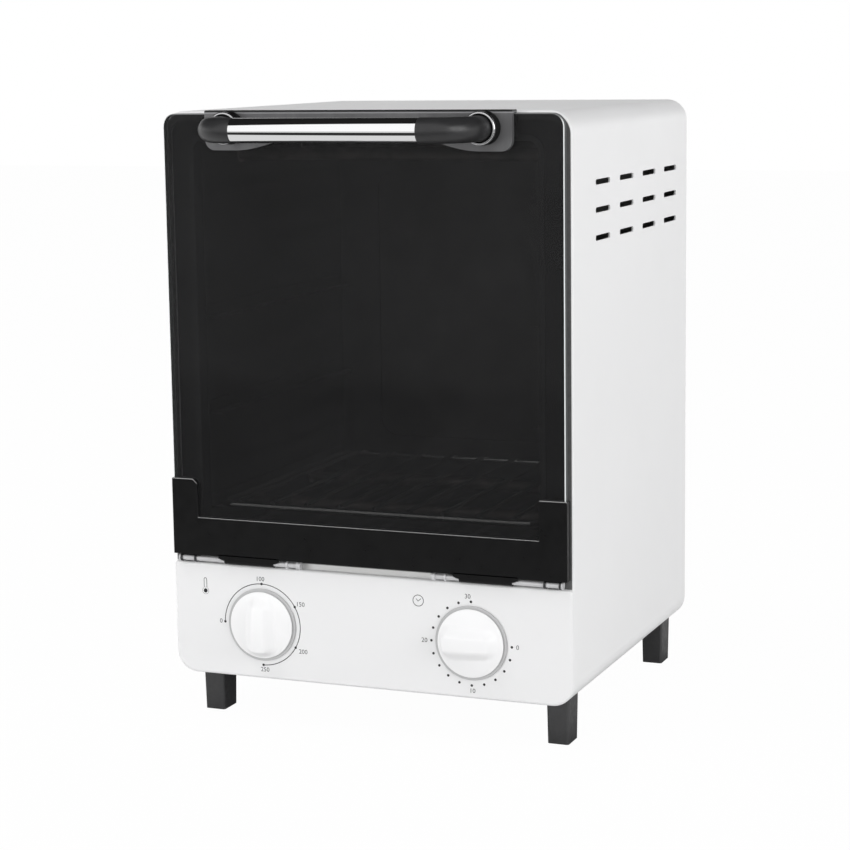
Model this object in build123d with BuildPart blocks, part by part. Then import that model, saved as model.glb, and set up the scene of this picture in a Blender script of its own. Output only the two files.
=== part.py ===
from build123d import *
import os

# Bench-top dry heat sterilizer: a rounded sheet-steel casing on four feet, a control
# panel with two dials under a drop-down glass door, and a heated chamber with a wire
# rack. Millimetres, +Z up, the front looks along -Y, the feet stand on Z = 0 and the
# origin is the middle of the whole thing's footprint, handle included.

os.makedirs("parts", exist_ok=True)

# ---- Driving dimensions -------------------------------------------------------------

# Casing
body_width = 255.0
body_height = 340.0
body_depth = 232.5
corner_radius = 13.0
sheet = 1.0
bend_radius = 1.5
rim = 4.5
rear_flange = 12.0
cover_lip = 32.0
fit_gap = 0.3

# Feet
foot_height = 28.0
foot_width = 14.0
foot_length = 18.0
foot_taper = 1.0
foot_side_inset = 8.5
foot_front_inset = 15.5
foot_rear_inset = 6.5
foot_screw_offset = 3.0

# Slots in the two sides, counted from the front edge and down from the top row
vent_length = 27.3
vent_height = 3.2
vent_pitch_y = 46.3
vent_pitch_z = 16.0
vent_columns = 4
vent_rows = 3
vent_first_y = 55.3
vent_top_row = 298.0

# Control panel
fascia_height = 69.0
fascia_stand = 2.4
fascia_fold = 1.8
fascia_corner = 2.2
dial_height = 33.5
thermostat_inset = 58.5
timer_inset = 62.0
shaft_radius = 3.0
bushing_radius = 5.0
running_gap = 0.05

# Knobs
knob_skirt_radius = 21.8
knob_skirt_thick = 2.2
knob_radius = 20.2
knob_dome_height = 9.5
knob_grip_height = 12.3
knob_gap = 0.5
knob_bore_depth = 8.0

# Chamber
chamber_side_space = 19.0
chamber_floor_rise = 15.0
chamber_top_space = 16.0
chamber_rear_space = 20.5
chamber_sheet = 0.8
mouth_return = 8.0
seam_flange = 10.0
seam_lap = 4.0
rail_width = 9.0
rail_leg = 8.0
rail_levels = 3
rail_pitch = 58.0
rack_rise = 19.5
rack_wire = 2.0
rack_rod = 1.3
rack_rods = 9
rack_rod_pitch = 22.0
rack_side_gap = 2.5
heater_radius = 4.0
heater_wall_gap = 11.5

# Door
glass_thick = 4.0
glass_inset = 3.0
glass_top_gap = 1.3
glass_corner = 7.5
glass_chamfer = 0.5
door_sheet = 0.8
door_gap = 0.6
bracket_arm_top = 121.0
bracket_arm_width = 17.0
bracket_band_top = 97.6
bracket_chamfer = 4.4
bracket_edge = 0.4
glass_seat_thick = 1.6
seal_width = 3.5
seal_thick = 1.4
strip_thick = 0.4

# Hinge
hinge_rod_radius = 1.5
hinge_running_gap = 0.06
hinge_lift = 0.5
ear_radius = 2.3
ear_thick = 1.2
ear_clearance = 0.3
tab_inset = 31.9
tab_length = 39.9
tab_narrowing = 3.8
tab_step = 0.8
saddle_inset = 6.0
saddle_length = 10.5
saddle_tab_gap = 4.5
saddle_inner_length = 8.0

# Handle
handle_inset = 16.3
handle_drop = 10.05
handle_stand = 49.5
handle_tube_radius = 7.0
handle_tube_wall = 1.0
elbow_radius = 7.2
elbow_bend = 22.0
elbow_straight = 0.5
post_radius = 9.6
post_length = 7.2
ring_radius = 9.1
ring_thick = 2.2
ring_groove = 0.7
plate_inset = 32.2
plate_thick = 3.2
plate_hook = 1.6
plate_bend = 1.2
plate_drop = 23.05
plate_waist_drop = 14.3
plate_corner = 6.5
screw_radius = 2.0
head_radius = 3.6
head_height = 1.8

# Cord inlet
gland_inset = 45.5
gland_rise = 30.0
gland_reach = 6.0
gland_bore = 3.6
gland_radius = 9.0
gland_neck = 7.0

# ---- Places worked out from them ------------------------------------------------------

handle_reach = handle_stand + elbow_radius
front = (handle_reach - body_depth - gland_reach) / 2
rear = front + body_depth
base = foot_height
top = base + body_height
middle_z = base + body_height / 2

inner_width = body_width - 2 * sheet
inner_height = body_height - 2 * sheet
inner_corner = corner_radius - sheet
frame_y = front + sheet
frame_back = frame_y + sheet

fascia_front = front - fascia_stand
fascia_top = base + fascia_height
dial_z = base + dial_height
thermostat_x = thermostat_inset - body_width / 2
timer_x = body_width / 2 - timer_inset

chamber_half = body_width / 2 - chamber_side_space
chamber_floor = fascia_top + chamber_floor_rise
chamber_roof = top - chamber_top_space
chamber_height = chamber_roof - chamber_floor
chamber_rear = rear - chamber_rear_space
chamber_depth = chamber_rear - frame_back
mouth_half = chamber_half - sheet
mouth_corner = 6.0

door_back = front - door_gap
glass_back = door_back - door_sheet
glass_front = glass_back - glass_thick
door_front = glass_front - door_sheet
curl_inner = hinge_rod_radius + hinge_running_gap
curl_outer = curl_inner + door_sheet
hinge_y = door_front + curl_outer
hinge_z = fascia_top + hinge_lift + curl_outer
bracket_bottom = hinge_z + ear_radius + ear_clearance
glass_bottom = bracket_bottom + door_sheet + glass_seat_thick
glass_top = top - glass_top_gap
glass_width = body_width - 2 * glass_inset
bracket_width = glass_width + 2 * (fit_gap + door_sheet)
tab_outer_x = body_width / 2 - tab_inset
tab_inner_x = tab_outer_x - tab_length
saddle_outer = (body_width / 2 - saddle_inset - saddle_length, body_width / 2 - saddle_inset)
saddle_inner_far = tab_inner_x - saddle_tab_gap
saddle_inner = (saddle_inner_far - saddle_inner_length, saddle_inner_far)

plate_top = glass_top + fit_gap + plate_hook
plate_front = glass_front - plate_thick
plate_half = body_width / 2 - plate_inset
handle_x = plate_half - handle_inset
handle_tube_half = handle_x - elbow_bend - elbow_straight
handle_z = plate_top - handle_drop
handle_y = front - handle_stand
post_front = plate_front - post_length

rack_z = chamber_floor + rack_rise
rail_top = rack_z - rack_wire - fit_gap
foot_x = body_width / 2 - foot_side_inset - foot_width / 2
foot_front_y = front + foot_front_inset + foot_length / 2
foot_rear_y = rear - foot_rear_inset - foot_length / 2
foot_screw_x = foot_x - foot_screw_offset
foot_screw_places = [(x, y) for x in (-foot_screw_x, foot_screw_x) for y in (foot_front_y, foot_rear_y)]
rear_screw_x = inner_width / 2 - rear_flange / 2
rear_screw_pitch = inner_height / 2 - inner_corner - rear_flange


def facing(y):
    """Sketch plane at depth y, seen from the front: x to the right, y up."""
    return Plane.XZ.offset(-y)


def level(z):
    """Sketch plane at height z, seen from above."""
    return Plane.XY.offset(z)


def upright(x):
    """Sketch plane across the thing at x: x runs back, y up."""
    return Plane.YZ.offset(x)


# ---- Casing ---------------------------------------------------------------------------

# Wrap-round cover: one sheet bent over the top, down the sides and under the base,
# with a narrow rim turned in at the front, a flange at the back and slots in the sides.
with BuildPart() as outer_cover:
    with BuildSketch(facing(front)):
        with Locations((0, middle_z)):
            RectangleRounded(body_width, body_height, corner_radius)
    extrude(amount=-body_depth)
    fillet(outer_cover.faces().sort_by(Axis.Y)[0].edges(), bend_radius)
    with BuildSketch(facing(frame_y)):
        with Locations((0, middle_z)):
            RectangleRounded(inner_width, inner_height, inner_corner)
    extrude(amount=-(body_depth - 3 * sheet), mode=Mode.SUBTRACT)
    with BuildSketch(facing(front - sheet)):
        with Locations((0, middle_z)):
            RectangleRounded(inner_width - 2 * rim, inner_height - 2 * rim, inner_corner - rim)
    extrude(amount=-4 * sheet, mode=Mode.SUBTRACT)
    with BuildSketch(facing(rear)):
        with Locations((0, middle_z)):
            RectangleRounded(inner_width, inner_height, inner_corner)
    extrude(amount=sheet, mode=Mode.SUBTRACT)
    with BuildSketch(facing(rear)):
        with Locations((0, middle_z)):
            Rectangle(inner_width - 2 * rear_flange, inner_height - 2 * rear_flange)
    extrude(amount=3 * sheet, mode=Mode.SUBTRACT)
    with BuildSketch(facing(front - sheet)):
        with Locations((0, base)):
            Rectangle(body_width - 2 * cover_lip, 2 * (sheet + rear_flange + sheet))
    extrude(amount=-(body_depth + 2 * sheet), mode=Mode.SUBTRACT)
    with BuildSketch(upright(-body_width / 2)):
        vent_middle_y = front + vent_first_y + (vent_columns - 1) * vent_pitch_y / 2
        vent_middle_z = base + vent_top_row - (vent_rows - 1) * vent_pitch_z / 2
        with Locations((vent_middle_y, vent_middle_z)):
            with GridLocations(vent_pitch_y, vent_pitch_z, vent_columns, vent_rows):
                SlotOverall(vent_length, vent_height)
    extrude(amount=body_width, mode=Mode.SUBTRACT)
    with BuildSketch(level(base)):
        with Locations(*foot_screw_places):
            Circle(screw_radius)
    extrude(amount=sheet, mode=Mode.SUBTRACT)
    with BuildSketch(facing(rear - sheet)):
        with Locations((0, middle_z)):
            with GridLocations(2 * rear_screw_x, rear_screw_pitch, 2, 3):
                Circle(screw_radius)
    extrude(amount=sheet, mode=Mode.SUBTRACT)
outer_cover.part.label = "outer_cover"
export_step(outer_cover.part, "parts/outer_cover.step")

# Base plate: lies on the cover's two lips and carries the feet, with a turned-up edge
# at the front against the front frame and one at the back against the rear panel.
base_half = body_width / 2 - corner_radius - fit_gap
base_flange = 8.0
base_flange_width = body_width - 2 * cover_lip - 2 * fit_gap
base_slots = 9
base_slot_pitch = 12.0
with BuildPart() as base_plate:
    with BuildSketch(level(base + sheet)):
        with Locations((0, (frame_back + rear - 2 * sheet) / 2)):
            Rectangle(2 * base_half, rear - 2 * sheet - frame_back)
    extrude(amount=sheet)
    with BuildSketch(level(base + sheet)):
        with Locations((0, rear - 1.5 * sheet), (0, frame_back + sheet / 2)):
            Rectangle(base_flange_width, sheet)
    extrude(amount=base_flange)
    with BuildSketch(level(base + sheet)):
        with Locations(*foot_screw_places):
            Circle(screw_radius + running_gap)
        with Locations((0, (front + rear) / 2)):
            with GridLocations(base_slot_pitch, 0, base_slots, 1):
                SlotOverall(vent_length, vent_height, rotation=90)
    extrude(amount=sheet, mode=Mode.SUBTRACT)
base_plate.part.label = "base_plate"
export_step(base_plate.part, "parts/base_plate.step")

# Rear panel: a plate let into the back of the cover, slotted high up and low down,
# with a hole for the cord inlet.
rear_half_width = inner_width / 2 - fit_gap
gland_x = body_width / 2 - gland_inset
gland_z = base + gland_rise
rear_slot_rows = 4
rear_slot_columns = 4
rear_slot_pitch_x = 37.0
rear_slot_pitch_z = 12.0
upper_slots = (0, base + vent_top_row - vent_pitch_z)
lower_slots_shift = -22.0
lower_slots_rise = 41.0
lower_slots = (lower_slots_shift, base + lower_slots_rise)
with BuildPart() as rear_panel:
    with BuildSketch(facing(rear - sheet)):
        with Locations((0, middle_z)):
            RectangleRounded(2 * rear_half_width, inner_height - 2 * fit_gap, inner_corner - fit_gap)
        with Locations((0, middle_z)):
            with GridLocations(2 * rear_screw_x, rear_screw_pitch, 2, 3):
                Circle(screw_radius, mode=Mode.SUBTRACT)
        with Locations((gland_x, gland_z)):
            Circle(gland_neck + running_gap, mode=Mode.SUBTRACT)
        with Locations(upper_slots, lower_slots):
            with GridLocations(
                rear_slot_pitch_x, rear_slot_pitch_z, rear_slot_columns, rear_slot_rows
            ):
                SlotOverall(vent_length, vent_height, mode=Mode.SUBTRACT)
    extrude(amount=-sheet)
rear_panel.part.label = "rear_panel"
export_step(rear_panel.part, "parts/rear_panel.step")

# Front frame: the steel plate behind the door, with the chamber's mouth turned back
# into a short collar and the holes that carry the two dial bushings.
mouth_height = chamber_height - 2 * sheet
mouth_middle = chamber_floor + chamber_height / 2
handle_screw_clearance = 5.5
with BuildPart() as front_frame:
    with BuildSketch(facing(frame_y)):
        with Locations((0, middle_z)):
            RectangleRounded(
                inner_width - 2 * fit_gap, inner_height - 2 * fit_gap, inner_corner - fit_gap
            )
    extrude(amount=-sheet)
    with BuildSketch(facing(frame_y)):
        with Locations((0, mouth_middle)):
            RectangleRounded(2 * chamber_half, chamber_height, mouth_corner + sheet)
    extrude(amount=-(sheet + mouth_return))
    with BuildSketch(facing(frame_y)):
        with Locations((0, mouth_middle)):
            RectangleRounded(2 * mouth_half, mouth_height, mouth_corner)
    extrude(amount=-(sheet + mouth_return), mode=Mode.SUBTRACT)
    with BuildSketch(facing(frame_y)):
        with Locations((thermostat_x, dial_z), (timer_x, dial_z)):
            Circle(bushing_radius + running_gap)
        with Locations((-handle_x, handle_z), (handle_x, handle_z)):
            Circle(handle_screw_clearance)
    extrude(amount=-sheet, mode=Mode.SUBTRACT)
front_frame.part.label = "front_frame"
export_step(front_frame.part, "parts/front_frame.step")

# Control panel: a shallow pressed tray in front of the frame, as wide as the casing,
# with the casing's rounded lower corners and a shelf folded back along its top edge.
fascia_hole_play = 2.5
fascia_hole = shaft_radius + fascia_hole_play
fascia_middle_z = base + fascia_height / 2
shelf_width = inner_width - 2 * rim - 2 * fit_gap
with BuildPart() as fascia_panel:
    with BuildSketch(facing(fascia_front)) as fascia_outline:
        with Locations((0, fascia_middle_z)):
            Rectangle(body_width, fascia_height)
        fillet(fascia_outline.vertices().group_by(Axis.Y)[0], corner_radius)
        fillet(fascia_outline.vertices().group_by(Axis.Y)[-1], fascia_corner)
    extrude(amount=-(fascia_stand - fit_gap))
    fillet(fascia_panel.faces().sort_by(Axis.Y)[0].edges(), fascia_fold)
    with BuildSketch(facing(fascia_front + sheet)) as fascia_pocket:
        with Locations((0, fascia_middle_z)):
            Rectangle(inner_width, fascia_height - 2 * sheet)
        fillet(fascia_pocket.vertices().group_by(Axis.Y)[0], inner_corner)
    extrude(amount=-fascia_stand, mode=Mode.SUBTRACT)
    with BuildSketch(level(fascia_top)):
        with Locations((0, (fascia_front + fascia_fold + frame_y) / 2)):
            Rectangle(shelf_width, frame_y - fascia_front - fascia_fold)
    extrude(amount=-sheet)
    with BuildSketch(facing(fascia_front)):
        with Locations((thermostat_x, dial_z), (timer_x, dial_z)):
            Circle(fascia_hole)
    extrude(amount=-fascia_stand, mode=Mode.SUBTRACT)
fascia_panel.part.label = "fascia_panel"
export_step(fascia_panel.part, "parts/fascia_panel.step")

# Rim strip: a thin grey foam strip stuck on the cover's front rim above the control
# panel, where the door comes to rest.
with BuildPart() as rim_strip:
    with BuildSketch(facing(front)):
        with Locations((0, middle_z)):
            RectangleRounded(
                body_width - 2 * bend_radius, body_height - 2 * bend_radius,
                corner_radius - bend_radius,
            )
            RectangleRounded(
                inner_width - 2 * rim, inner_height - 2 * rim, inner_corner - rim,
                mode=Mode.SUBTRACT,
            )
        with Locations((0, fascia_top + fit_gap)):
            Rectangle(
                body_width, body_height,
                align=(Align.CENTER, Align.MAX), mode=Mode.SUBTRACT,
            )
    extrude(amount=strip_thick)
rim_strip.part.label = "rim_strip"
export_step(rim_strip.part, "parts/rim_strip.step")

# Mouth seal: a flat silicone ring on the front frame, round the chamber's mouth.
with BuildPart() as mouth_seal:
    with BuildSketch(facing(frame_y)):
        with Locations((0, mouth_middle)):
            RectangleRounded(
                2 * (mouth_half + seal_width), mouth_height + 2 * seal_width,
                mouth_corner + seal_width,
            )
            RectangleRounded(2 * mouth_half, mouth_height, mouth_corner, mode=Mode.SUBTRACT)
    extrude(amount=seal_thick)
mouth_seal.part.label = "mouth_seal"
export_step(mouth_seal.part, "parts/mouth_seal.step")

# Feet: four moulded legs that taper a little downwards, each held by one screw, with
# the top shaped to the casing's rounded corner.
foot_edge = 1.5
foot_rise = 2.0
foot_screw_depth = 12.0
foot_screw_end_gap = 1.0
foot_places = {
    "foot_front_left": (-1, foot_front_y),
    "foot_front_right": (1, foot_front_y),
    "foot_rear_left": (-1, foot_rear_y),
    "foot_rear_right": (1, foot_rear_y),
}
for foot_name, (side, foot_y) in foot_places.items():
    with BuildPart() as foot:
        with BuildSketch(level(base + foot_rise)):
            with Locations((side * foot_x, foot_y)):
                RectangleRounded(foot_width, foot_length, foot_edge)
        with BuildSketch(level(0)):
            with Locations((side * foot_x, foot_y)):
                RectangleRounded(foot_width - foot_taper, foot_length - foot_taper, foot_edge)
        loft()
        with BuildSketch(facing(foot_y - foot_length)):
            with Locations((0, middle_z)):
                RectangleRounded(body_width, body_height, corner_radius)
        extrude(amount=-2 * foot_length, mode=Mode.SUBTRACT)
        with BuildSketch(level(base)):
            with Locations((side * foot_screw_x, foot_y)):
                Circle(screw_radius)
        extrude(amount=-foot_screw_depth, mode=Mode.SUBTRACT)
    foot.part.label = foot_name
    export_step(foot.part, f"parts/{foot_name}.step")

# Foot screws: pan heads on the base plate, shanks down through the lips into the feet.
with BuildPart() as foot_screws:
    with BuildSketch(level(base + 2 * sheet)):
        with Locations(*foot_screw_places):
            Circle(head_radius)
    extrude(amount=head_height)
    with BuildSketch(level(base + 2 * sheet)):
        with Locations(*foot_screw_places):
            Circle(screw_radius - running_gap)
    extrude(amount=-(2 * sheet + foot_screw_depth - foot_screw_end_gap))
foot_screws.part.label = "foot_screws"
export_step(foot_screws.part, "parts/foot_screws.step")

# Rear screws: six pan heads on the rear panel, shanks into the cover's flange.
with BuildPart() as rear_screws:
    with BuildSketch(facing(rear)):
        with Locations((0, middle_z)):
            with GridLocations(2 * rear_screw_x, rear_screw_pitch, 2, 3):
                Circle(head_radius)
    extrude(amount=-head_height)
    with BuildSketch(facing(rear)):
        with Locations((0, middle_z)):
            with GridLocations(2 * rear_screw_x, rear_screw_pitch, 2, 3):
                Circle(screw_radius - running_gap)
    extrude(amount=5 * sheet)
rear_screws.part.label = "rear_screws"
export_step(rear_screws.part, "parts/rear_screws.step")

# Cord inlet: a flanged bush through the rear panel, with a tapered nose outside.
gland_flange = 2.5
gland_tail = 6.0
with BuildPart() as cord_inlet:
    with BuildSketch(facing(rear)):
        with Locations((gland_x, gland_z)):
            Circle(gland_radius)
    extrude(amount=-gland_flange)
    with BuildSketch(facing(rear + gland_flange)):
        with Locations((gland_x, gland_z)):
            Circle(gland_neck)
    extrude(amount=-(gland_reach - gland_flange), taper=12)
    with BuildSketch(facing(rear)):
        with Locations((gland_x, gland_z)):
            Circle(gland_neck)
    extrude(amount=sheet + gland_tail)
    with BuildSketch(facing(rear + gland_reach)):
        with Locations((gland_x, gland_z)):
            Circle(gland_bore)
    extrude(amount=gland_reach + sheet + gland_tail, mode=Mode.SUBTRACT)
cord_inlet.part.label = "cord_inlet"
export_step(cord_inlet.part, "parts/cord_inlet.step")

# Terminal block: a moulded block on the base plate where the supply meets the wiring.
block_length = 34.0
block_width = 18.0
block_height = 15.0
block_rear_gap = 52.0
block_y = rear - block_rear_gap
block_ways = 3
block_corner = 1.5
block_edge = 1.0
block_hole = 2.6
with BuildPart() as terminal_block:
    with BuildSketch(level(base + 2 * sheet)):
        with Locations((gland_x - block_length / 2, block_y)):
            RectangleRounded(block_length, block_width, block_corner)
    extrude(amount=block_height)
    fillet(terminal_block.faces().sort_by(Axis.Z)[-1].edges(), block_edge)
    with BuildSketch(level(base + 2 * sheet + block_height)):
        with Locations((gland_x - block_length / 2, block_y)):
            with GridLocations(block_length / block_ways, block_width / 2, block_ways, 2):
                Circle(block_hole)
    extrude(amount=-block_height / 2, mode=Mode.SUBTRACT)
terminal_block.part.label = "terminal_block"
export_step(terminal_block.part, "parts/terminal_block.step")

# ---- Chamber --------------------------------------------------------------------------

heater_y = (frame_back + 0.3 * chamber_depth, frame_back + 0.74 * chamber_depth)
heater_z_low = chamber_floor + heater_wall_gap
heater_z_high = chamber_roof - heater_wall_gap
heater_places = {
    "heater_lower_front": (heater_y[0], heater_z_low),
    "heater_lower_rear": (heater_y[1], heater_z_low),
    "heater_upper_front": (heater_y[0], heater_z_high),
    "heater_upper_rear": (heater_y[1], heater_z_high),
}
bush_wall = 1.6
bush_collar = 3.0
bush_neck = heater_radius + bush_wall
bush_head = heater_radius + bush_collar
bush_head_thick = 4.0
wall_outer = chamber_half + chamber_sheet

# Side walls: sheets with a flange turned outwards at the front and at the back.
for wall_name, side in {"chamber_left_wall": -1, "chamber_right_wall": 1}.items():
    with BuildPart() as wall:
        with BuildSketch(level(chamber_floor)):
            with Locations((side * (chamber_half + chamber_sheet / 2), (frame_back + chamber_rear) / 2)):
                Rectangle(chamber_sheet, chamber_depth)
            with Locations(
                (side * (chamber_half + seam_flange / 2), frame_back + chamber_sheet / 2),
                (side * (chamber_half + seam_flange / 2), chamber_rear - chamber_sheet / 2),
            ):
                Rectangle(seam_flange, chamber_sheet)
        extrude(amount=chamber_height)
        with BuildSketch(upright(side * chamber_half)):
            with Locations(*heater_places.values()):
                Circle(bush_neck + running_gap)
        extrude(amount=side * chamber_sheet, mode=Mode.SUBTRACT)
    wall.part.label = wall_name
    export_step(wall.part, f"parts/{wall_name}.step")

# Roof and floor: shallow trays whose side flanges lap the outside of the walls.
tray_front = frame_back + chamber_sheet + fit_gap
tray_rear = chamber_rear - chamber_sheet - fit_gap
tray_depth = tray_rear - tray_front
tray_half = wall_outer + chamber_sheet
lap = {"chamber_roof": (chamber_roof, 1), "chamber_floor": (chamber_floor, -1)}
for tray_name, (tray_z, away) in lap.items():
    with BuildPart() as tray:
        with BuildSketch(level(tray_z)):
            with Locations((0, (frame_back + chamber_rear) / 2)):
                Rectangle(2 * wall_outer, chamber_depth)
        extrude(amount=away * chamber_sheet)
        with BuildSketch(level(tray_z + away * chamber_sheet)):
            with Locations(
                (tray_half - chamber_sheet / 2, (tray_front + tray_rear) / 2),
                (-tray_half + chamber_sheet / 2, (tray_front + tray_rear) / 2),
            ):
                Rectangle(chamber_sheet, tray_depth)
        extrude(amount=-away * seam_lap)
        with BuildSketch(level(tray_z)):
            with Locations((0, (frame_back + chamber_rear) / 2)):
                Rectangle(2 * tray_half, tray_depth)
        extrude(amount=away * chamber_sheet)
    tray.part.label = tray_name
    export_step(tray.part, f"parts/{tray_name}.step")

# Back of the chamber: a flat sheet against the rear flanges, pressed with a shallow
# rounded panel for stiffness.
back_press = 2.0
back_panel = 0.75
with BuildPart() as chamber_back:
    with BuildSketch(facing(chamber_rear)):
        with Locations((0, mouth_middle)):
            Rectangle(2 * (chamber_half + seam_flange), chamber_height + 2 * chamber_sheet)
    extrude(amount=-chamber_sheet)
    with BuildSketch(facing(chamber_rear)):
        with Locations((0, mouth_middle)):
            RectangleRounded(back_panel * 2 * chamber_half, back_panel * chamber_height, 2 * mouth_corner)
    extrude(amount=-(chamber_sheet + back_press))
    with BuildSketch(facing(chamber_rear)):
        with Locations((0, mouth_middle)):
            RectangleRounded(
                back_panel * 2 * chamber_half - 2 * chamber_sheet,
                back_panel * chamber_height - 2 * chamber_sheet,
                2 * mouth_corner - chamber_sheet,
            )
    extrude(amount=-back_press, mode=Mode.SUBTRACT)
chamber_back.part.label = "chamber_back"
export_step(chamber_back.part, "parts/chamber_back.step")

# Rack rails: folded angle strips spot-welded to the side walls, one pair a level.
rail_front_gap = 1.0
rail_rear_gap = 5.0
rail_start = frame_back + mouth_return + rail_front_gap
rail_end = chamber_rear - rail_rear_gap
for rail_name, side in {"rack_rails_left": -1, "rack_rails_right": 1}.items():
    with BuildPart() as rails:
        for rail in range(rail_levels):
            rail_z = rail_top + rail * rail_pitch
            with BuildSketch(facing(rail_start)):
                with Locations((side * (chamber_half - rail_width / 2), rail_z - sheet / 2)):
                    Rectangle(rail_width, sheet)
                with Locations((side * (chamber_half - sheet / 2), rail_z - sheet + rail_leg / 2)):
                    Rectangle(sheet, rail_leg)
            extrude(amount=-(rail_end - rail_start))
    rails.part.label = rail_name
    export_step(rails.part, f"parts/{rail_name}.step")

# Wire rack: a bent wire frame with thinner rods welded across its front and back wires.
rack_half = chamber_half - sheet - rack_side_gap - rack_wire
rack_front_gap = 9.0
rack_rear_gap = 6.0
rack_front = frame_y + rack_front_gap
rack_rear = rail_end - rack_rear_gap
rack_corner = 12.0
rack_weld = 0.5
rack_rod_z = rack_z + rack_wire + rack_rod - rack_weld
with BuildPart() as wire_rack:
    with BuildLine(level(rack_z)) as rack_loop:
        FilletPolyline(
            (-rack_half, rack_front),
            (rack_half, rack_front),
            (rack_half, rack_rear),
            (-rack_half, rack_rear),
            radius=rack_corner,
            close=True,
        )
    rack_path = rack_loop.wires()[0]
    with BuildSketch(Plane(origin=rack_path @ 0, z_dir=rack_path % 0)):
        Circle(rack_wire)
    sweep(path=rack_path)
    with BuildSketch(facing(rack_front - rack_wire / 2)):
        with Locations((0, rack_rod_z)):
            with GridLocations(rack_rod_pitch, 0, rack_rods, 1):
                Circle(rack_rod)
    extrude(amount=-(rack_rear - rack_front + rack_wire))
wire_rack.part.label = "wire_rack"
export_step(wire_rack.part, "parts/wire_rack.step")

# Heaters: four straight metal-sheathed rods across the chamber with pins at the ends.
heater_end = 2.0
heater_half = wall_outer + bush_head_thick + heater_end
heater_pin = 4.0
for heater_name, (heater_at, heater_z) in heater_places.items():
    with BuildPart() as heater:
        with BuildSketch(upright(-heater_half)):
            with Locations((heater_at, heater_z)):
                Circle(heater_radius)
        extrude(amount=2 * heater_half)
        with BuildSketch(upright(-heater_half - heater_pin)):
            with Locations((heater_at, heater_z)):
                Circle(heater_radius / 3)
        extrude(amount=2 * (heater_half + heater_pin))
    heater.part.label = heater_name
    export_step(heater.part, f"parts/{heater_name}.step")

# Ceramic bushes: eight flanged sleeves that carry the heaters' ends in the side walls.
with BuildPart() as heater_bushes:
    for side in (-1, 1):
        for bush_place in heater_places.values():
            with BuildSketch(upright(side * chamber_half)):
                with Locations(bush_place):
                    Circle(bush_neck)
                    Circle(heater_radius + running_gap, mode=Mode.SUBTRACT)
            extrude(amount=side * (chamber_sheet + bush_head_thick))
            with BuildSketch(upright(side * wall_outer)):
                with Locations(bush_place):
                    Circle(bush_head)
                    Circle(bush_neck - fit_gap, mode=Mode.SUBTRACT)
            extrude(amount=side * bush_head_thick)
heater_bushes.part.label = "heater_bushes"
export_step(heater_bushes.part, "parts/heater_bushes.step")

# ---- Controls -------------------------------------------------------------------------

thermostat_radius = 17.0
thermostat_depth = 20.0
timer_radius = 23.0
timer_depth = 30.0
bell_radius = 17.0
bell_height = 8.0
nut_across = 14.0
nut_thick = 1.6
shaft_seat = 6.0
knob_back = fascia_front - knob_gap
shaft_play = 0.5
shaft_end = knob_back - knob_bore_depth + shaft_play
shaft_flat = 1.0
grip_slope = 3.4
grip_edge = 1.4
can_edge = 2.0
blade_width = 6.0
blade_length = 8.0
bell_face = 1.5

# Thermostat and timer: round cans behind the front frame, each with a threaded
# bushing through it, and a blind bore in which the shaft turns.
controls = {
    "thermostat_body": (thermostat_x, thermostat_radius, thermostat_depth),
    "timer_body": (timer_x, timer_radius, timer_depth),
}
for control_name, (control_x, control_radius, control_depth) in controls.items():
    with BuildPart() as control:
        with BuildSketch(facing(frame_back)):
            with Locations((control_x, dial_z)):
                Circle(control_radius)
        extrude(amount=-control_depth)
        fillet(control.faces().sort_by(Axis.Y)[-1].edges(), can_edge)
        with BuildSketch(facing(frame_back)):
            with Locations((control_x, dial_z)):
                Circle(bushing_radius)
        extrude(amount=sheet + nut_thick)
        with BuildSketch(facing(frame_y - nut_thick)):
            with Locations((control_x, dial_z)):
                Circle(shaft_radius + running_gap)
        extrude(amount=-(nut_thick + sheet + shaft_seat), mode=Mode.SUBTRACT)
        with BuildSketch(facing(frame_back + control_depth)):
            with Locations((control_x, dial_z - control_radius / 2)):
                with GridLocations(control_radius, 0, 2, 1):
                    Rectangle(sheet, blade_width)
        extrude(amount=-blade_length)
    control.part.label = control_name
    export_step(control.part, f"parts/{control_name}.step")

# Timer bell: the domed gong screwed to the back of the clockwork.
with BuildPart() as timer_bell:
    with BuildSketch(facing(frame_back + timer_depth)):
        with Locations((timer_x, dial_z + timer_radius - bell_radius)):
            Circle(bell_radius)
    extrude(amount=-bell_height)
    fillet(timer_bell.faces().sort_by(Axis.Y)[-1].edges(), bell_height - bell_face)
timer_bell.part.label = "timer_bell"
export_step(timer_bell.part, "parts/timer_bell.step")

# Bushing nuts between the frame and the control panel.
for nut_name, nut_x in {"thermostat_nut": thermostat_x, "timer_nut": timer_x}.items():
    with BuildPart() as nut:
        with BuildSketch(facing(frame_y)):
            with Locations((nut_x, dial_z)):
                RegularPolygon(nut_across / 2, 6, major_radius=False)
                Circle(bushing_radius + running_gap, mode=Mode.SUBTRACT)
        extrude(amount=nut_thick)
    nut.part.label = nut_name
    export_step(nut.part, f"parts/{nut_name}.step")

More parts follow.
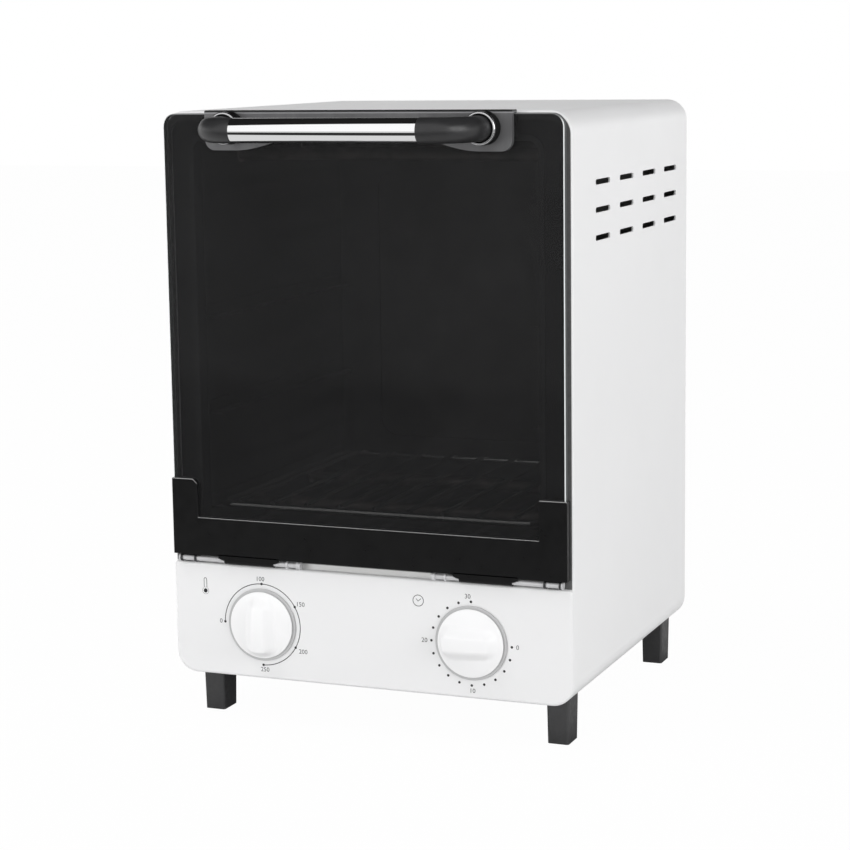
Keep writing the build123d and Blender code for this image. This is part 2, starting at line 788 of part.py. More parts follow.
# Shafts: round rods with a flat where they enter their knobs. The flat faces away from
# the way the knob points.
pointing = {"thermostat": (thermostat_x, 0, 1), "timer": (timer_x, 1, 0)}
for control_name, (shaft_x, across, up) in pointing.items():
    with BuildPart() as shaft:
        with BuildSketch(facing(shaft_end)):
            with Locations((shaft_x, dial_z)):
                Circle(shaft_radius)
            with Locations((shaft_x - across * shaft_radius, dial_z - up * shaft_radius)):
                Rectangle(
                    2 * shaft_flat + up * shaft_radius * 2,
                    2 * shaft_flat + across * shaft_radius * 2,
                    mode=Mode.SUBTRACT,
                )
        extrude(amount=-(knob_back - shaft_end))
        with BuildSketch(facing(knob_back)):
            with Locations((shaft_x, dial_z)):
                Circle(shaft_radius)
        extrude(amount=-(frame_back + shaft_seat - shaft_play - knob_back))
    shaft.part.label = f"{control_name}_shaft"
    export_step(shaft.part, f"parts/{control_name}_shaft.step")

# Knobs: a thin skirt, a domed body and a raised grip that narrows towards the pointer.
grip_tail = 8.0
grip_tip = 5.2
grip_inset = 1.2
grip_tail_reach = knob_radius - grip_tail - grip_inset
grip_tip_reach = knob_radius - grip_tip - grip_inset
side_draft = 0.4
for control_name, (knob_x, across, up) in pointing.items():
    with BuildPart() as knob:
        with BuildSketch(level(dial_z)):
            with BuildLine():
                skirt_front = knob_back - knob_skirt_thick
                shoulder = (knob_x + knob_radius - side_draft, knob_back - knob_dome_height / 2)
                crown = (knob_x, knob_back - knob_dome_height)
                Polyline(
                    (knob_x, knob_back),
                    (knob_x + knob_skirt_radius, knob_back),
                    (knob_x + knob_skirt_radius, skirt_front),
                    (knob_x + knob_radius, skirt_front),
                    shoulder,
                )
                Spline(shoulder, crown, tangents=((-side_draft, -1), (-1, 0)))
                Line(crown, (knob_x, knob_back))
            make_face()
        revolve(axis=Axis((knob_x, 0, dial_z), (0, 1, 0)))
        for grip_y, slope in ((skirt_front, 0), (knob_back - knob_grip_height, grip_slope)):
            with BuildSketch(facing(grip_y)):
                with Locations((knob_x - across * grip_tail_reach, dial_z - up * grip_tail_reach)):
                    Circle(grip_tail - slope)
                with Locations((knob_x + across * grip_tip_reach, dial_z + up * grip_tip_reach)):
                    Circle(grip_tip - slope)
                make_hull()
        loft()
        fillet(knob.faces().sort_by(Axis.Y)[0].edges(), grip_edge)
        with BuildSketch(facing(knob_back)):
            with Locations((knob_x, dial_z)):
                Circle(shaft_radius + running_gap)
            with Locations((knob_x - across * shaft_radius, dial_z - up * shaft_radius)):
                Rectangle(
                    2 * (shaft_flat - running_gap) + up * shaft_radius * 2,
                    2 * (shaft_flat - running_gap) + across * shaft_radius * 2,
                    mode=Mode.SUBTRACT,
                )
        extrude(amount=knob_bore_depth, mode=Mode.SUBTRACT)
    knob.part.label = f"{control_name}_knob"
    export_step(knob.part, f"parts/{control_name}_knob.step")

# ---- Door -----------------------------------------------------------------------------

# Glass: one tempered pane, rounded at its upper corners, drilled for the handle.
with BuildPart() as glass_pane:
    with BuildSketch(facing(glass_front)) as pane_outline:
        with Locations((0, (glass_bottom + glass_top) / 2)):
            Rectangle(glass_width, glass_top - glass_bottom)
        fillet(pane_outline.vertices().group_by(Axis.Y)[-1], glass_corner)
        with Locations((-handle_x, handle_z), (handle_x, handle_z)):
            Circle(screw_radius + fit_gap, mode=Mode.SUBTRACT)
    extrude(amount=-glass_thick)
    chamfer(glass_pane.faces().sort_by(Axis.Y)[0].outer_wire().edges(), glass_chamfer)
glass_pane.part.label = "glass_pane"
export_step(glass_pane.part, "parts/glass_pane.step")

# Lower door bracket: a black channel folded round the foot of the glass, with an arm up
# each side and two tabs rolled under into the hinge knuckles.
bracket_half = bracket_width / 2
arm_inner = bracket_half - bracket_arm_width
arm_top = base + bracket_arm_top
band_top = base + bracket_band_top
bracket_corner = 1.0
with BuildPart() as door_bracket:
    with BuildSketch(facing(door_front)) as bracket_outline:
        with Locations((0, bracket_bottom)):
            Rectangle(bracket_width, arm_top - bracket_bottom, align=(Align.CENTER, Align.MIN))
        with Locations((0, band_top)):
            Rectangle(
                2 * arm_inner, arm_top - band_top,
                align=(Align.CENTER, Align.MIN), mode=Mode.SUBTRACT,
            )
        fillet(bracket_outline.vertices().group_by(Axis.Y)[0], bracket_corner)
        arm_tips = bracket_outline.vertices().group_by(Axis.Y)[-1].sort_by(Axis.X)
        chamfer(arm_tips[1:3], bracket_chamfer)
    extrude(amount=-(door_back - door_front))
    fillet(door_bracket.faces().sort_by(Axis.Y)[0].edges(), bracket_edge)
    with BuildSketch(facing(glass_front)):
        with Locations((0, bracket_bottom + door_sheet + body_height / 2)):
            Rectangle(bracket_width - 2 * door_sheet, body_height)
    extrude(amount=-glass_thick, mode=Mode.SUBTRACT)
    for side in (-1, 1):
        with BuildSketch(facing(door_front)):
            with BuildLine():
                Polyline(
                    (side * tab_inner_x, bracket_bottom + door_sheet / 2),
                    (side * tab_inner_x, bracket_bottom - tab_step),
                    (side * (tab_inner_x + tab_narrowing), hinge_z),
                    (side * (tab_outer_x - tab_narrowing), hinge_z),
                    (side * tab_outer_x, bracket_bottom - tab_step),
                    (side * tab_outer_x, bracket_bottom + door_sheet / 2),
                    close=True,
                )
            make_face()
        extrude(amount=-door_sheet)
        with BuildSketch(upright(side * (tab_inner_x + tab_narrowing))):
            with Locations((hinge_y, hinge_z)):
                Circle(curl_outer)
                Circle(curl_inner, mode=Mode.SUBTRACT)
            with Locations((hinge_y - curl_inner, hinge_z)):
                Rectangle(
                    2 * curl_outer, 2 * curl_outer,
                    align=(Align.MIN, Align.MIN), mode=Mode.SUBTRACT,
                )
        extrude(amount=side * (tab_outer_x - tab_inner_x - 2 * tab_narrowing))
door_bracket.part.label = "door_bracket"
export_step(door_bracket.part, "parts/door_bracket.step")

# Glass seat: the silicone strip in the channel's floor under the glass.
with BuildPart() as glass_seat:
    with BuildSketch(facing(glass_front)):
        with Locations((0, bracket_bottom + door_sheet + glass_seat_thick / 2)):
            Rectangle(glass_width - 2 * fit_gap, glass_seat_thick)
    extrude(amount=-glass_thick)
glass_seat.part.label = "glass_seat"
export_step(glass_seat.part, "parts/glass_seat.step")

# Hinge rods and their saddles: each rod runs through the ears of two small saddles
# welded to the front frame, and the door's rolled tab turns on it between them.
rod_overhang = 1.2
rod_head_radius = 2.1
for rod_name, side in {"hinge_rod_left": -1, "hinge_rod_right": 1}.items():
    with BuildPart() as hinge_rod:
        with BuildSketch(upright(side * saddle_inner[0])):
            with Locations((hinge_y, hinge_z)):
                Circle(hinge_rod_radius)
        extrude(amount=side * (saddle_outer[1] - saddle_inner[0]))
        with BuildSketch(upright(side * (saddle_inner[0] - rod_overhang))):
            with Locations((hinge_y, hinge_z)):
                Circle(rod_head_radius)
        extrude(amount=side * rod_overhang)
        with BuildSketch(upright(side * saddle_outer[1])):
            with Locations((hinge_y, hinge_z)):
                Circle(rod_head_radius)
        extrude(amount=side * rod_overhang)
    hinge_rod.part.label = rod_name
    export_step(hinge_rod.part, f"parts/{rod_name}.step")

saddles = {
    "hinge_saddle_left_inner": (-1, saddle_inner),
    "hinge_saddle_left_outer": (-1, saddle_outer),
    "hinge_saddle_right_inner": (1, saddle_inner),
    "hinge_saddle_right_outer": (1, saddle_outer),
}
for saddle_name, (side, (near, far)) in saddles.items():
    with BuildPart() as saddle:
        with BuildSketch(upright(side * near)):
            with Locations((hinge_y, hinge_z)):
                Circle(ear_radius)
            with Locations(((hinge_y + frame_y) / 2, hinge_z)):
                Rectangle(frame_y - hinge_y, 2 * ear_radius)
        extrude(amount=side * (far - near))
        with BuildSketch(upright(side * (near + ear_thick))):
            with Locations(((hinge_y + frame_y) / 2 - ear_radius - sheet / 2, hinge_z)):
                Rectangle(frame_y - hinge_y + 2 * ear_radius - sheet, 4 * ear_radius)
        extrude(amount=side * (far - near - 2 * ear_thick), mode=Mode.SUBTRACT)
        with BuildSketch(upright(side * near)):
            with Locations((hinge_y, hinge_z)):
                Circle(hinge_rod_radius + running_gap / 2)
        extrude(amount=side * (far - near), mode=Mode.SUBTRACT)
    saddle.part.label = saddle_name
    export_step(saddle.part, f"parts/{saddle_name}.step")

# ---- Handle ---------------------------------------------------------------------------

# Clip plate: a cast bone-shaped plate that hooks over the top of the glass, wide where
# the handle posts stand and narrow between them.
plate_bottom = plate_top - plate_drop
waist_bottom = plate_top - plate_waist_drop
waist_half = 28.0
plate_foot = 19.0
plate_foot_half = plate_half - plate_foot
rear_leg = 15.0
with BuildPart() as handle_plate:
    with BuildSketch(facing(plate_front)) as plate_outline:
        with BuildLine():
            Polyline((waist_half, waist_bottom), (0, waist_bottom), (0, plate_top))
            Polyline((0, plate_top), (plate_half, plate_top), (plate_half, plate_bottom))
            Line((plate_half, plate_bottom), (plate_foot_half, plate_bottom))
            Spline(
                (plate_foot_half, plate_bottom), (waist_half, waist_bottom),
                tangents=((-1, 0), (-1, 0)),
            )
        make_face()
        mirror(about=Plane.YZ)
        plate_corners = plate_outline.vertices().group_by(Axis.Y)[0].sort_by(Axis.X)
        fillet([plate_corners[0], plate_corners[-1]], plate_corner)
    extrude(amount=-plate_thick)
    with BuildSketch(level(plate_top)):
        with Locations((0, (plate_front + door_back) / 2)):
            Rectangle(2 * plate_half, door_back - plate_front)
    extrude(amount=-plate_hook)
    with BuildSketch(facing(glass_back)):
        with Locations((0, plate_top - rear_leg / 2)):
            Rectangle(2 * plate_half, rear_leg)
    extrude(amount=-door_sheet)
    fillet(handle_plate.edges().filter_by(Axis.X).group_by(Axis.Z)[-1], plate_bend)
    with BuildSketch(facing(plate_front)):
        with Locations((-handle_x, handle_z), (handle_x, handle_z)):
            Circle(screw_radius + running_gap)
    extrude(amount=-(door_back - plate_front), mode=Mode.SUBTRACT)
handle_plate.part.label = "handle_plate"
export_step(handle_plate.part, "parts/handle_plate.step")

# Posts, rings and elbows: a moulded post on the plate, a bright ring on its end and a
# moulded elbow that turns into the grip tube and plugs into it.
spigot = 10.0
post_draft = 0.4
post_end_wall = 2.0
ring_edge = 0.9
for hand, side in {"left": -1, "right": 1}.items():
    with BuildPart() as post:
        with BuildSketch(facing(plate_front)):
            with Locations((side * handle_x, handle_z)):
                Circle(post_radius)
        with BuildSketch(facing(post_front)):
            with Locations((side * handle_x, handle_z)):
                Circle(post_radius - post_draft)
        loft()
        with BuildSketch(facing(plate_front)):
            with Locations((side * handle_x, handle_z)):
                Circle(screw_radius)
        extrude(amount=post_length - post_end_wall, mode=Mode.SUBTRACT)
    post.part.label = f"handle_post_{hand}"
    export_step(post.part, f"parts/handle_post_{hand}.step")

    with BuildPart() as ring:
        with BuildSketch(facing(post_front)):
            with Locations((side * handle_x, handle_z)):
                Circle(ring_radius)
                Circle(elbow_radius + ring_groove, mode=Mode.SUBTRACT)
        extrude(amount=ring_thick)
        fillet(ring.faces().sort_by(Axis.Y)[0].outer_wire().edges(), ring_edge)
    ring.part.label = f"handle_ring_{hand}"
    export_step(ring.part, f"parts/handle_ring_{hand}.step")

    with BuildPart() as elbow:
        with BuildLine(level(handle_z)) as elbow_path:
            FilletPolyline(
                (side * handle_x, post_front),
                (side * handle_x, handle_y),
                (side * handle_tube_half, handle_y),
                radius=elbow_bend,
            )
        with BuildSketch(facing(post_front)):
            with Locations((side * handle_x, handle_z)):
                Circle(elbow_radius)
        sweep(path=elbow_path.wires()[0])
        with BuildSketch(upright(side * handle_tube_half)):
            with Locations((handle_y, handle_z)):
                Circle(handle_tube_radius - handle_tube_wall - running_gap)
        extrude(amount=-side * spigot)
    elbow.part.label = f"handle_elbow_{hand}"
    export_step(elbow.part, f"parts/handle_elbow_{hand}.step")

# Grip tube: bright tube between the two elbows.
with BuildPart() as handle_tube:
    with BuildSketch(upright(-handle_tube_half)):
        with Locations((handle_y, handle_z)):
            Circle(handle_tube_radius)
            Circle(handle_tube_radius - handle_tube_wall, mode=Mode.SUBTRACT)
    extrude(amount=2 * handle_tube_half)
handle_tube.part.label = "handle_tube"
export_step(handle_tube.part, "parts/handle_tube.step")

# Handle screws: low heads behind the glass, shanks through it into the posts.
low_head = 1.3
handle_screw_end_gap = 1.0
with BuildPart() as handle_screws:
    with BuildSketch(facing(door_back)):
        with Locations((-handle_x, handle_z), (handle_x, handle_z)):
            Circle(head_radius)
    extrude(amount=-low_head)
    with BuildSketch(facing(door_back)):
        with Locations((-handle_x, handle_z), (handle_x, handle_z)):
            Circle(screw_radius - running_gap)
    extrude(amount=door_back - post_front - post_end_wall - handle_screw_end_gap)
handle_screws.part.label = "handle_screws"
export_step(handle_screws.part, "parts/handle_screws.step")
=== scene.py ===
import math

import bpy
import numpy as np
from mathutils import Matrix, Vector


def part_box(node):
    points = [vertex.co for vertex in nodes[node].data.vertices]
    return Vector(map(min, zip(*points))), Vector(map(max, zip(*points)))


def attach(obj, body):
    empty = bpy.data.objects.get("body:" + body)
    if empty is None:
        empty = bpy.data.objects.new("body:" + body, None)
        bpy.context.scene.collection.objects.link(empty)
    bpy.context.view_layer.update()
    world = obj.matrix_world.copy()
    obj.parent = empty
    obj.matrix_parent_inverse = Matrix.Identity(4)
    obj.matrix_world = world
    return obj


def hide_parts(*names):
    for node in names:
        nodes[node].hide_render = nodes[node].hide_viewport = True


# A bench-top dry heat sterilizer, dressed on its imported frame. Metres, +Z up, the door
# and the dials face -Y. The sections follow the machine as it is put together.

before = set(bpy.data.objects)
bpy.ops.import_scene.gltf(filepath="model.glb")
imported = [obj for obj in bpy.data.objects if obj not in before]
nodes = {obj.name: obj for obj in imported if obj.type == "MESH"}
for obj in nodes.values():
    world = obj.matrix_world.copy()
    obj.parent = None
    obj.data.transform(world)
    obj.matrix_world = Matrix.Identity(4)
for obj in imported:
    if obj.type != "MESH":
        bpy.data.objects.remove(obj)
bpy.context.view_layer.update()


# ---- Viewpoint -------------------------------------------------------------------------
# The camera stands in front of the machine, a little to its right and above. Its place
# is measured from the middle of the casing's lower front edge.
casing_low, casing_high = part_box("outer_cover")
casing_front, casing_foot = casing_low.y, casing_low.z

eye = Vector((0.53524, casing_front - 1.22587, casing_foot + 0.37522))
turn, tilt, lean = math.radians(22.104), math.radians(9.239), math.radians(-0.794)
ahead = Vector((-math.sin(turn) * math.cos(tilt), math.cos(turn) * math.cos(tilt),
                -math.sin(tilt)))
level_right = Vector((math.cos(turn), math.sin(turn), 0))
right = math.cos(lean) * level_right + math.sin(lean) * level_right.cross(ahead)
above = right.cross(ahead)
picture_width = 850
focal_pixels = 2321.86
camera_data = bpy.data.cameras.new("bench_camera")
camera_data.sensor_width = 36.0
camera_data.lens = focal_pixels / picture_width * camera_data.sensor_width
camera_data.clip_start, camera_data.clip_end = 0.05, 50.0
camera = bpy.data.objects.new("bench_camera", camera_data)
bpy.context.scene.collection.objects.link(camera)
camera.rotation_mode = "QUATERNION"
camera.rotation_quaternion = Matrix((right, above, -ahead)).transposed().to_quaternion()
camera.location = eye
bpy.context.scene.camera = camera
bpy.context.scene.view_settings.view_transform = "Standard"


# ---- Bench top, room and lamps ---------------------------------------------------------
# A plain white bench top under large soft lamps. The camera sees it and the room white.
# Bright metal shows the bench white, but dark under the machine and past its front edge,
# and an unlit ceiling.
def shader_node(tree, kind, **values):
    """A node of a kind, with its settings and its unlinked sockets filled in by name.
    A socket's name is written with underscores; a setting's with small letters."""
    made = tree.nodes.new("ShaderNode" + kind)
    for name, value in values.items():
        if name[0].islower():
            setattr(made, name, value)
        else:
            made.inputs[name.replace("_", " ")].default_value = value
    return made


def calculate(tree, operation, first, second=0.0):
    """One sum of the shader: each side is a number or another node's output."""
    made = shader_node(tree, "Math", operation=operation)
    for socket, side in zip(made.inputs, (first, second)):
        if isinstance(side, (int, float)):
            socket.default_value = side
        else:
            tree.links.new(side, socket)
    return made.outputs[0]


def ramp(tree, value, low, high, out_low=0.0, out_high=1.0):
    """A smooth step from one value to another while the input goes from low to high."""
    made = shader_node(tree, "MapRange", interpolation_type="SMOOTHSTEP",
                       From_Min=low, From_Max=high, To_Min=out_low, To_Max=out_high)
    tree.links.new(value, made.inputs["Value"])
    return made.outputs["Result"]


def parts_of(tree, kind, output):
    """The x, y and z of what a node of a kind gives at one of its outputs."""
    parts = shader_node(tree, "SeparateXYZ")
    tree.links.new(shader_node(tree, kind).outputs[output], parts.inputs[0])
    return parts.outputs


def either(tree, share, first, second):
    """A shader between two: share 0 is the first and share 1 is the second."""
    mixed = shader_node(tree, "MixShader")
    for socket, side in zip(mixed.inputs, (share, first.outputs[0], second.outputs[0])):
        tree.links.new(side, socket)
    return mixed


bench_reach, bench_grey, bench_glow = 6.0, 0.84, 0.98
bench_edge, edge_blur = casing_front - 0.46, 0.03
far_floor, far_blur = casing_front - 1.35, 0.12
shade_inside, shade_outside = 0.02, 0.04
bench_mirrored, dark_mirrored = 0.68, 0.03
corners = np.array([(-1, -1, 0), (1, -1, 0), (1, 1, 0), (-1, 1, 0)]) * bench_reach
bench_mesh = bpy.data.meshes.new("bench_top")
bench_mesh.from_pydata(corners.tolist(), [], [(0, 1, 2, 3)])
bench = bpy.data.objects.new("bench_top", bench_mesh)
bpy.context.scene.collection.objects.link(bench)
bench_white = bpy.data.materials.new("bench_white")
bench_white.use_nodes = True
tree = bench_white.node_tree
laminate = tree.nodes["Principled BSDF"]
laminate.inputs["Base Color"].default_value = (bench_grey, bench_grey, bench_grey, 1)
laminate.inputs["Roughness"].default_value = 0.7
laminate.inputs["Specular IOR Level"].default_value = 0.2
ray = shader_node(tree, "LightPath")
white = shader_node(tree, "Emission", Color=(1, 1, 1, 1), Strength=1.0)
shown = either(tree, calculate(tree, "MULTIPLY", ray.outputs["Is Camera Ray"], bench_glow),
               laminate, white)
place = parts_of(tree, "TexCoord", "Object")
past_edge = ramp(tree, place["Y"], bench_edge - edge_blur, bench_edge + edge_blur, 1.0, 0.0)
near_strip = ramp(tree, place["Y"], far_floor - far_blur, far_floor + far_blur)
strip = calculate(tree, "MULTIPLY", past_edge, near_strip)
casing_middle = (casing_front + casing_high.y) / 2
casing_half = (casing_high.y - casing_front) / 2
from_middle = calculate(tree, "SUBTRACT", place["Y"], casing_middle)
shaded = calculate(tree, "MULTIPLY", *(
    ramp(tree, calculate(tree, "ABSOLUTE", out), half - shade_inside, half + shade_outside,
         1.0, 0.0)
    for out, half in ((place["X"], casing_high.x), (from_middle, casing_half))
))
mirrored = shader_node(tree, "Emission", Color=(1, 1, 1, 1))
tree.links.new(ramp(tree, calculate(tree, "MAXIMUM", strip, shaded), 0.0, 1.0,
                    bench_mirrored, dark_mirrored), mirrored.inputs["Strength"])
bench_top = either(tree, ray.outputs["Is Glossy Ray"], shown, mirrored)
tree.links.new(bench_top.outputs[0], tree.nodes["Material Output"].inputs["Surface"])
bench_mesh.materials.append(bench_white)

room = bpy.data.worlds.new("white_room")
bpy.context.scene.world = room
room.use_nodes = True
room_light, ceiling_glow = 0.5, 0.012
ceiling_front, ceiling_foot = (-0.46, -0.38), (0.05, 0.35)
tree = room.node_tree
wall_light = tree.nodes["Background"]
wall_light.inputs["Color"].default_value = (1, 1, 1, 1)
wall_light.inputs["Strength"].default_value = room_light
wall_seen = shader_node(tree, "Background", Color=(1, 1, 1, 1), Strength=1.0)
wall_mirrored = shader_node(tree, "Background", Color=(1, 1, 1, 1))
toward = parts_of(tree, "TexCoord", "Generated")
unlit = calculate(tree, "MULTIPLY", ramp(tree, toward["Y"], *ceiling_front),
                  ramp(tree, toward["Z"], *ceiling_foot))
tree.links.new(ramp(tree, unlit, 0.0, 1.0, 1.0, ceiling_glow), wall_mirrored.inputs["Strength"])
ray = shader_node(tree, "LightPath")
direct = calculate(tree, "MAXIMUM", ray.outputs["Is Camera Ray"],
                   ray.outputs["Is Transmission Ray"])
lit_or_seen = either(tree, direct, wall_light, wall_seen)
walls = either(tree, ray.outputs["Is Glossy Ray"], lit_or_seen, wall_mirrored)
tree.links.new(walls.outputs[0], tree.nodes["World Output"].inputs["Surface"])

machine_middle = Vector((0, 0, 0.2))


def soft_lamp(name, place, size, watts, mirrored=True):
    """A square lamp at a place, facing the middle of the machine. A lamp that isn't
    mirrored lights the machine but leaves no image of itself in glass and bright metal."""
    data = bpy.data.lights.new(name, "AREA")
    data.size = size
    data.energy = watts
    lamp = bpy.data.objects.new(name, data)
    lamp.location = place
    lamp.rotation_mode = "QUATERNION"
    lamp.rotation_quaternion = (machine_middle - Vector(place)).to_track_quat("-Z", "Y")
    lamp.visible_camera = False
    lamp.visible_glossy = mirrored
    bpy.context.scene.collection.objects.link(lamp)


soft_lamp("front_lamp", (-1.3, -2.3, 0.45), 1.1, 27, mirrored=False)
soft_lamp("side_lamp", (2.3, -0.75, 0.85), 1.5, 27)
soft_lamp("top_lamp", (-0.9, -0.72, 2.3), 0.8, 14, mirrored=False)


# ---- Cover and rear panel --------------------------------------------------------------
# The cover is one 1 mm steel sheet bent round the cabinet, and the rear panel is let
# into it. Both are powder coated a light grey-white, which leaves a faint orange peel.
mottle_band, gloss_band, gloss_finer, grain_strength = (0.32, 0.68), (0.3, 0.7), 3, 0.6
speck_spacing, speck_edge, speck_shade = 0.006, (0.03, 0.07), 0.5


def blend(tree, share, first, second):
    """A colour between two, each of them three numbers or another node's output. The
    node takes its two colours at the sockets 6 and 7."""
    mixed = shader_node(tree, "Mix", data_type="RGBA")
    tree.links.new(share, mixed.inputs[0])
    for socket, side in zip(mixed.inputs[6:8], (first, second)):
        if isinstance(side, tuple):
            socket.default_value = side + (1,)
        else:
            tree.links.new(side, socket)
    return mixed.outputs[2]


def paint_over(material, share, colour):
    """Lays a second colour over the colour that a finish has, as far as the share says."""
    tree = material.node_tree
    base = tree.nodes["Principled BSDF"].inputs["Base Color"]
    tree.links.new(blend(tree, share, base.links[0].from_socket, colour), base)


def coat(name, colour, roughness, metallic=0.0, specular=0.5, tone=0.02, tone_size=0.05,
         gloss=0.15, grain_size=0.0008, grain_depth=0.00001, stretch=(1, 1, 1), specks=0.0):
    """A finish with slow mottling of its colour and gloss and a fine raised grain. Sizes
    are in metres. Stretch draws the pattern out along an axis, and specks darken small
    round spots."""
    material = bpy.data.materials.new(name)
    material.use_nodes = True
    tree = material.node_tree
    shader = tree.nodes["Principled BSDF"]
    shader.inputs["Metallic"].default_value = metallic
    shader.inputs["Specular IOR Level"].default_value = specular
    place = shader_node(tree, "TexCoord")
    mapping = shader_node(tree, "Mapping", Scale=stretch)
    tree.links.new(place.outputs["Object"], mapping.inputs["Vector"])

    def noise(scale, **settings):
        """How strong a soft pattern of one scale is, as a node's output."""
        pattern = shader_node(tree, "TexNoise", Scale=scale, **settings)
        tree.links.new(mapping.outputs["Vector"], pattern.inputs["Vector"])
        return pattern.outputs["Fac"]

    tint = shader_node(tree, "ValToRGB")
    for stop, where, share in zip(tint.color_ramp.elements, mottle_band, (1 - tone, 1 + tone)):
        stop.position = where
        stop.color = tuple(min(1, part * share) for part in colour) + (1,)
    tree.links.new(noise(1 / tone_size, Detail=4, Roughness=0.55), tint.inputs["Fac"])
    tree.links.new(tint.outputs["Color"], shader.inputs["Base Color"])
    if specks:
        spots = shader_node(tree, "TexVoronoi", Scale=1 / speck_spacing)
        tree.links.new(place.outputs["Object"], spots.inputs["Vector"])
        paint_over(material, ramp(tree, spots.outputs["Distance"], *speck_edge, specks, 0.0),
                   tuple(part * speck_shade for part in colour))

    dull = noise(gloss_finer / tone_size, Detail=5, Roughness=0.6)
    tree.links.new(ramp(tree, dull, *gloss_band, roughness * (1 - gloss),
                        min(1, roughness * (1 + gloss))), shader.inputs["Roughness"])
    raised = shader_node(tree, "Bump", Strength=grain_strength, Distance=grain_depth)
    tree.links.new(noise(1 / grain_size, Detail=2), raised.inputs["Height"])
    tree.links.new(raised.outputs["Normal"], shader.inputs["Normal"])
    return material


def dress(material, *names):
    """Puts one finish on every material slot of the named nodes."""
    for name in names:
        if not nodes[name].material_slots:
            nodes[name].data.materials.append(material)
        for holder in nodes[name].material_slots:
            holder.material = material


cover_coat = coat("cover_coat", (0.82, 0.82, 0.825), 0.4, tone=0.008, tone_size=0.12, gloss=0.12,
                  grain_size=0.0011, grain_depth=0.000006, specks=0.06)
dress(cover_coat, "outer_cover", "rear_panel")


# ---- Base plate and screws -------------------------------------------------------------
# The base is a zinc-plated tray in the cover's open foot. Pan-head screws with a cross
# recess hold the rear panel, and the same screws hold the feet from inside.
zinc = coat("zinc_plate", (0.62, 0.62, 0.635), 0.34, metallic=1.0, tone=0.07, tone_size=0.012,
            gloss=0.25, grain_size=0.0004, grain_depth=0.000006)
dress(zinc, "base_plate", "foot_screws")


def skin(name, grid, material, body, loop=False, crease=40):
    """A closed surface from a grid of points, rows by columns. The columns run round and
    meet. With loop the rows meet too; otherwise the first and last rows are single
    points. Faces are turned outwards by the sign of the volume that they enclose."""
    rows, columns = grid.shape[:2]
    if loop:
        points = grid.reshape(-1, 3)
        numbers = np.arange(rows * columns).reshape(rows, columns)
        numbers = np.vstack((numbers, numbers[:1]))
    else:
        points = np.vstack((grid[0, :1], grid[1:-1].reshape(-1, 3), grid[-1, :1]))
        inner = np.arange((rows - 2) * columns).reshape(rows - 2, columns) + 1
        first = np.zeros((1, columns), int)
        numbers = np.vstack((first, inner, first + len(points) - 1))
    beside = np.roll(numbers, -1, axis=1)
    quads = np.stack((numbers[:-1], beside[:-1], beside[1:], numbers[1:]), axis=-1).reshape(-1, 4)
    triangles = np.vstack((quads[:, :3], quads[:, (0, 2, 3)]))
    a, b, c = (points[triangles[:, corner]] - points.mean(0) for corner in range(3))
    if np.einsum("ij,ij->i", a, np.cross(b, c)).sum() < 0:
        quads = quads[:, ::-1]
    faces = [tuple(dict.fromkeys(face)) for face in quads.tolist()]
    return made_mesh(name, points, faces, material, body, crease)


def made_mesh(name, points, faces, material, body, crease=40):
    """One piece at the origin from points and faces, smooth but for edges sharper than
    the crease angle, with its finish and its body."""
    mesh = bpy.data.meshes.new(name)
    mesh.from_pydata(np.asarray(points, float).tolist(), [], faces)
    mesh.polygons.foreach_set("use_smooth", np.ones(len(mesh.polygons), bool))
    mesh.set_sharp_from_angle(angle=math.radians(crease))
    mesh.materials.append(material)
    mesh.update()
    piece = bpy.data.objects.new(name, mesh)
    bpy.context.scene.collection.objects.link(piece)
    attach(piece, body)
    return piece


def closed_ends(grid):
    """A grid with one more row at each end, where all its columns meet in the middle."""
    middles = grid[(0, -1), :].mean(axis=1, keepdims=True).repeat(grid.shape[1], axis=1)
    return np.concatenate((middles[:1], grid, middles[1:]))


def on_circle(centre, radius, angle):
    """Points on a circle: the centre plus the radius times (cos a, sin a) at angles a."""
    return np.asarray(centre) + radius * np.column_stack((np.cos(angle), np.sin(angle)))


def round_axis(outline, centre, axis, steps=96):
    """A profile turned round a level axis: profile point (r, h) at angle t goes to the
    centre plus h along the axis plus r (cos t, sin t) in the two directions across it."""
    axis = np.asarray(axis, float)
    across = np.cross(axis, (0, 0, 1.0))
    other = np.cross(axis, across)
    angle = np.linspace(0, 2 * np.pi, steps, endpoint=False)
    circle = np.cos(angle)[:, None] * across + np.sin(angle)[:, None] * other
    radius, height = np.asarray(outline, float).T
    return np.asarray(centre) + radius[:, None, None] * circle + height[:, None, None] * axis


def rounded(corner_list, steps=5):
    """A profile with its corners rounded: each item is (r, h, radius), and each corner
    becomes a curve that leaves one side and joins the next at that distance from it,
    by the formula of a quadratic curve with the corner as its middle point."""
    points = np.array([item[:2] for item in corner_list], float)
    reach = np.array([item[2] for item in corner_list], float)
    line = [points[0]]
    share = np.linspace(0, 1, steps)[:, None]
    for before, here, after, size in zip(points[:-2], points[1:-1], points[2:], reach[1:-1]):
        if size == 0:
            line.append(here)
            continue
        start = here + (before - here) / np.linalg.norm(before - here) * size
        end = here + (after - here) / np.linalg.norm(after - here) * size
        line.extend((1 - share) ** 2 * start + 2 * share * (1 - share) * here + share ** 2 * end)
    line.append(points[-1])
    return np.array(line)


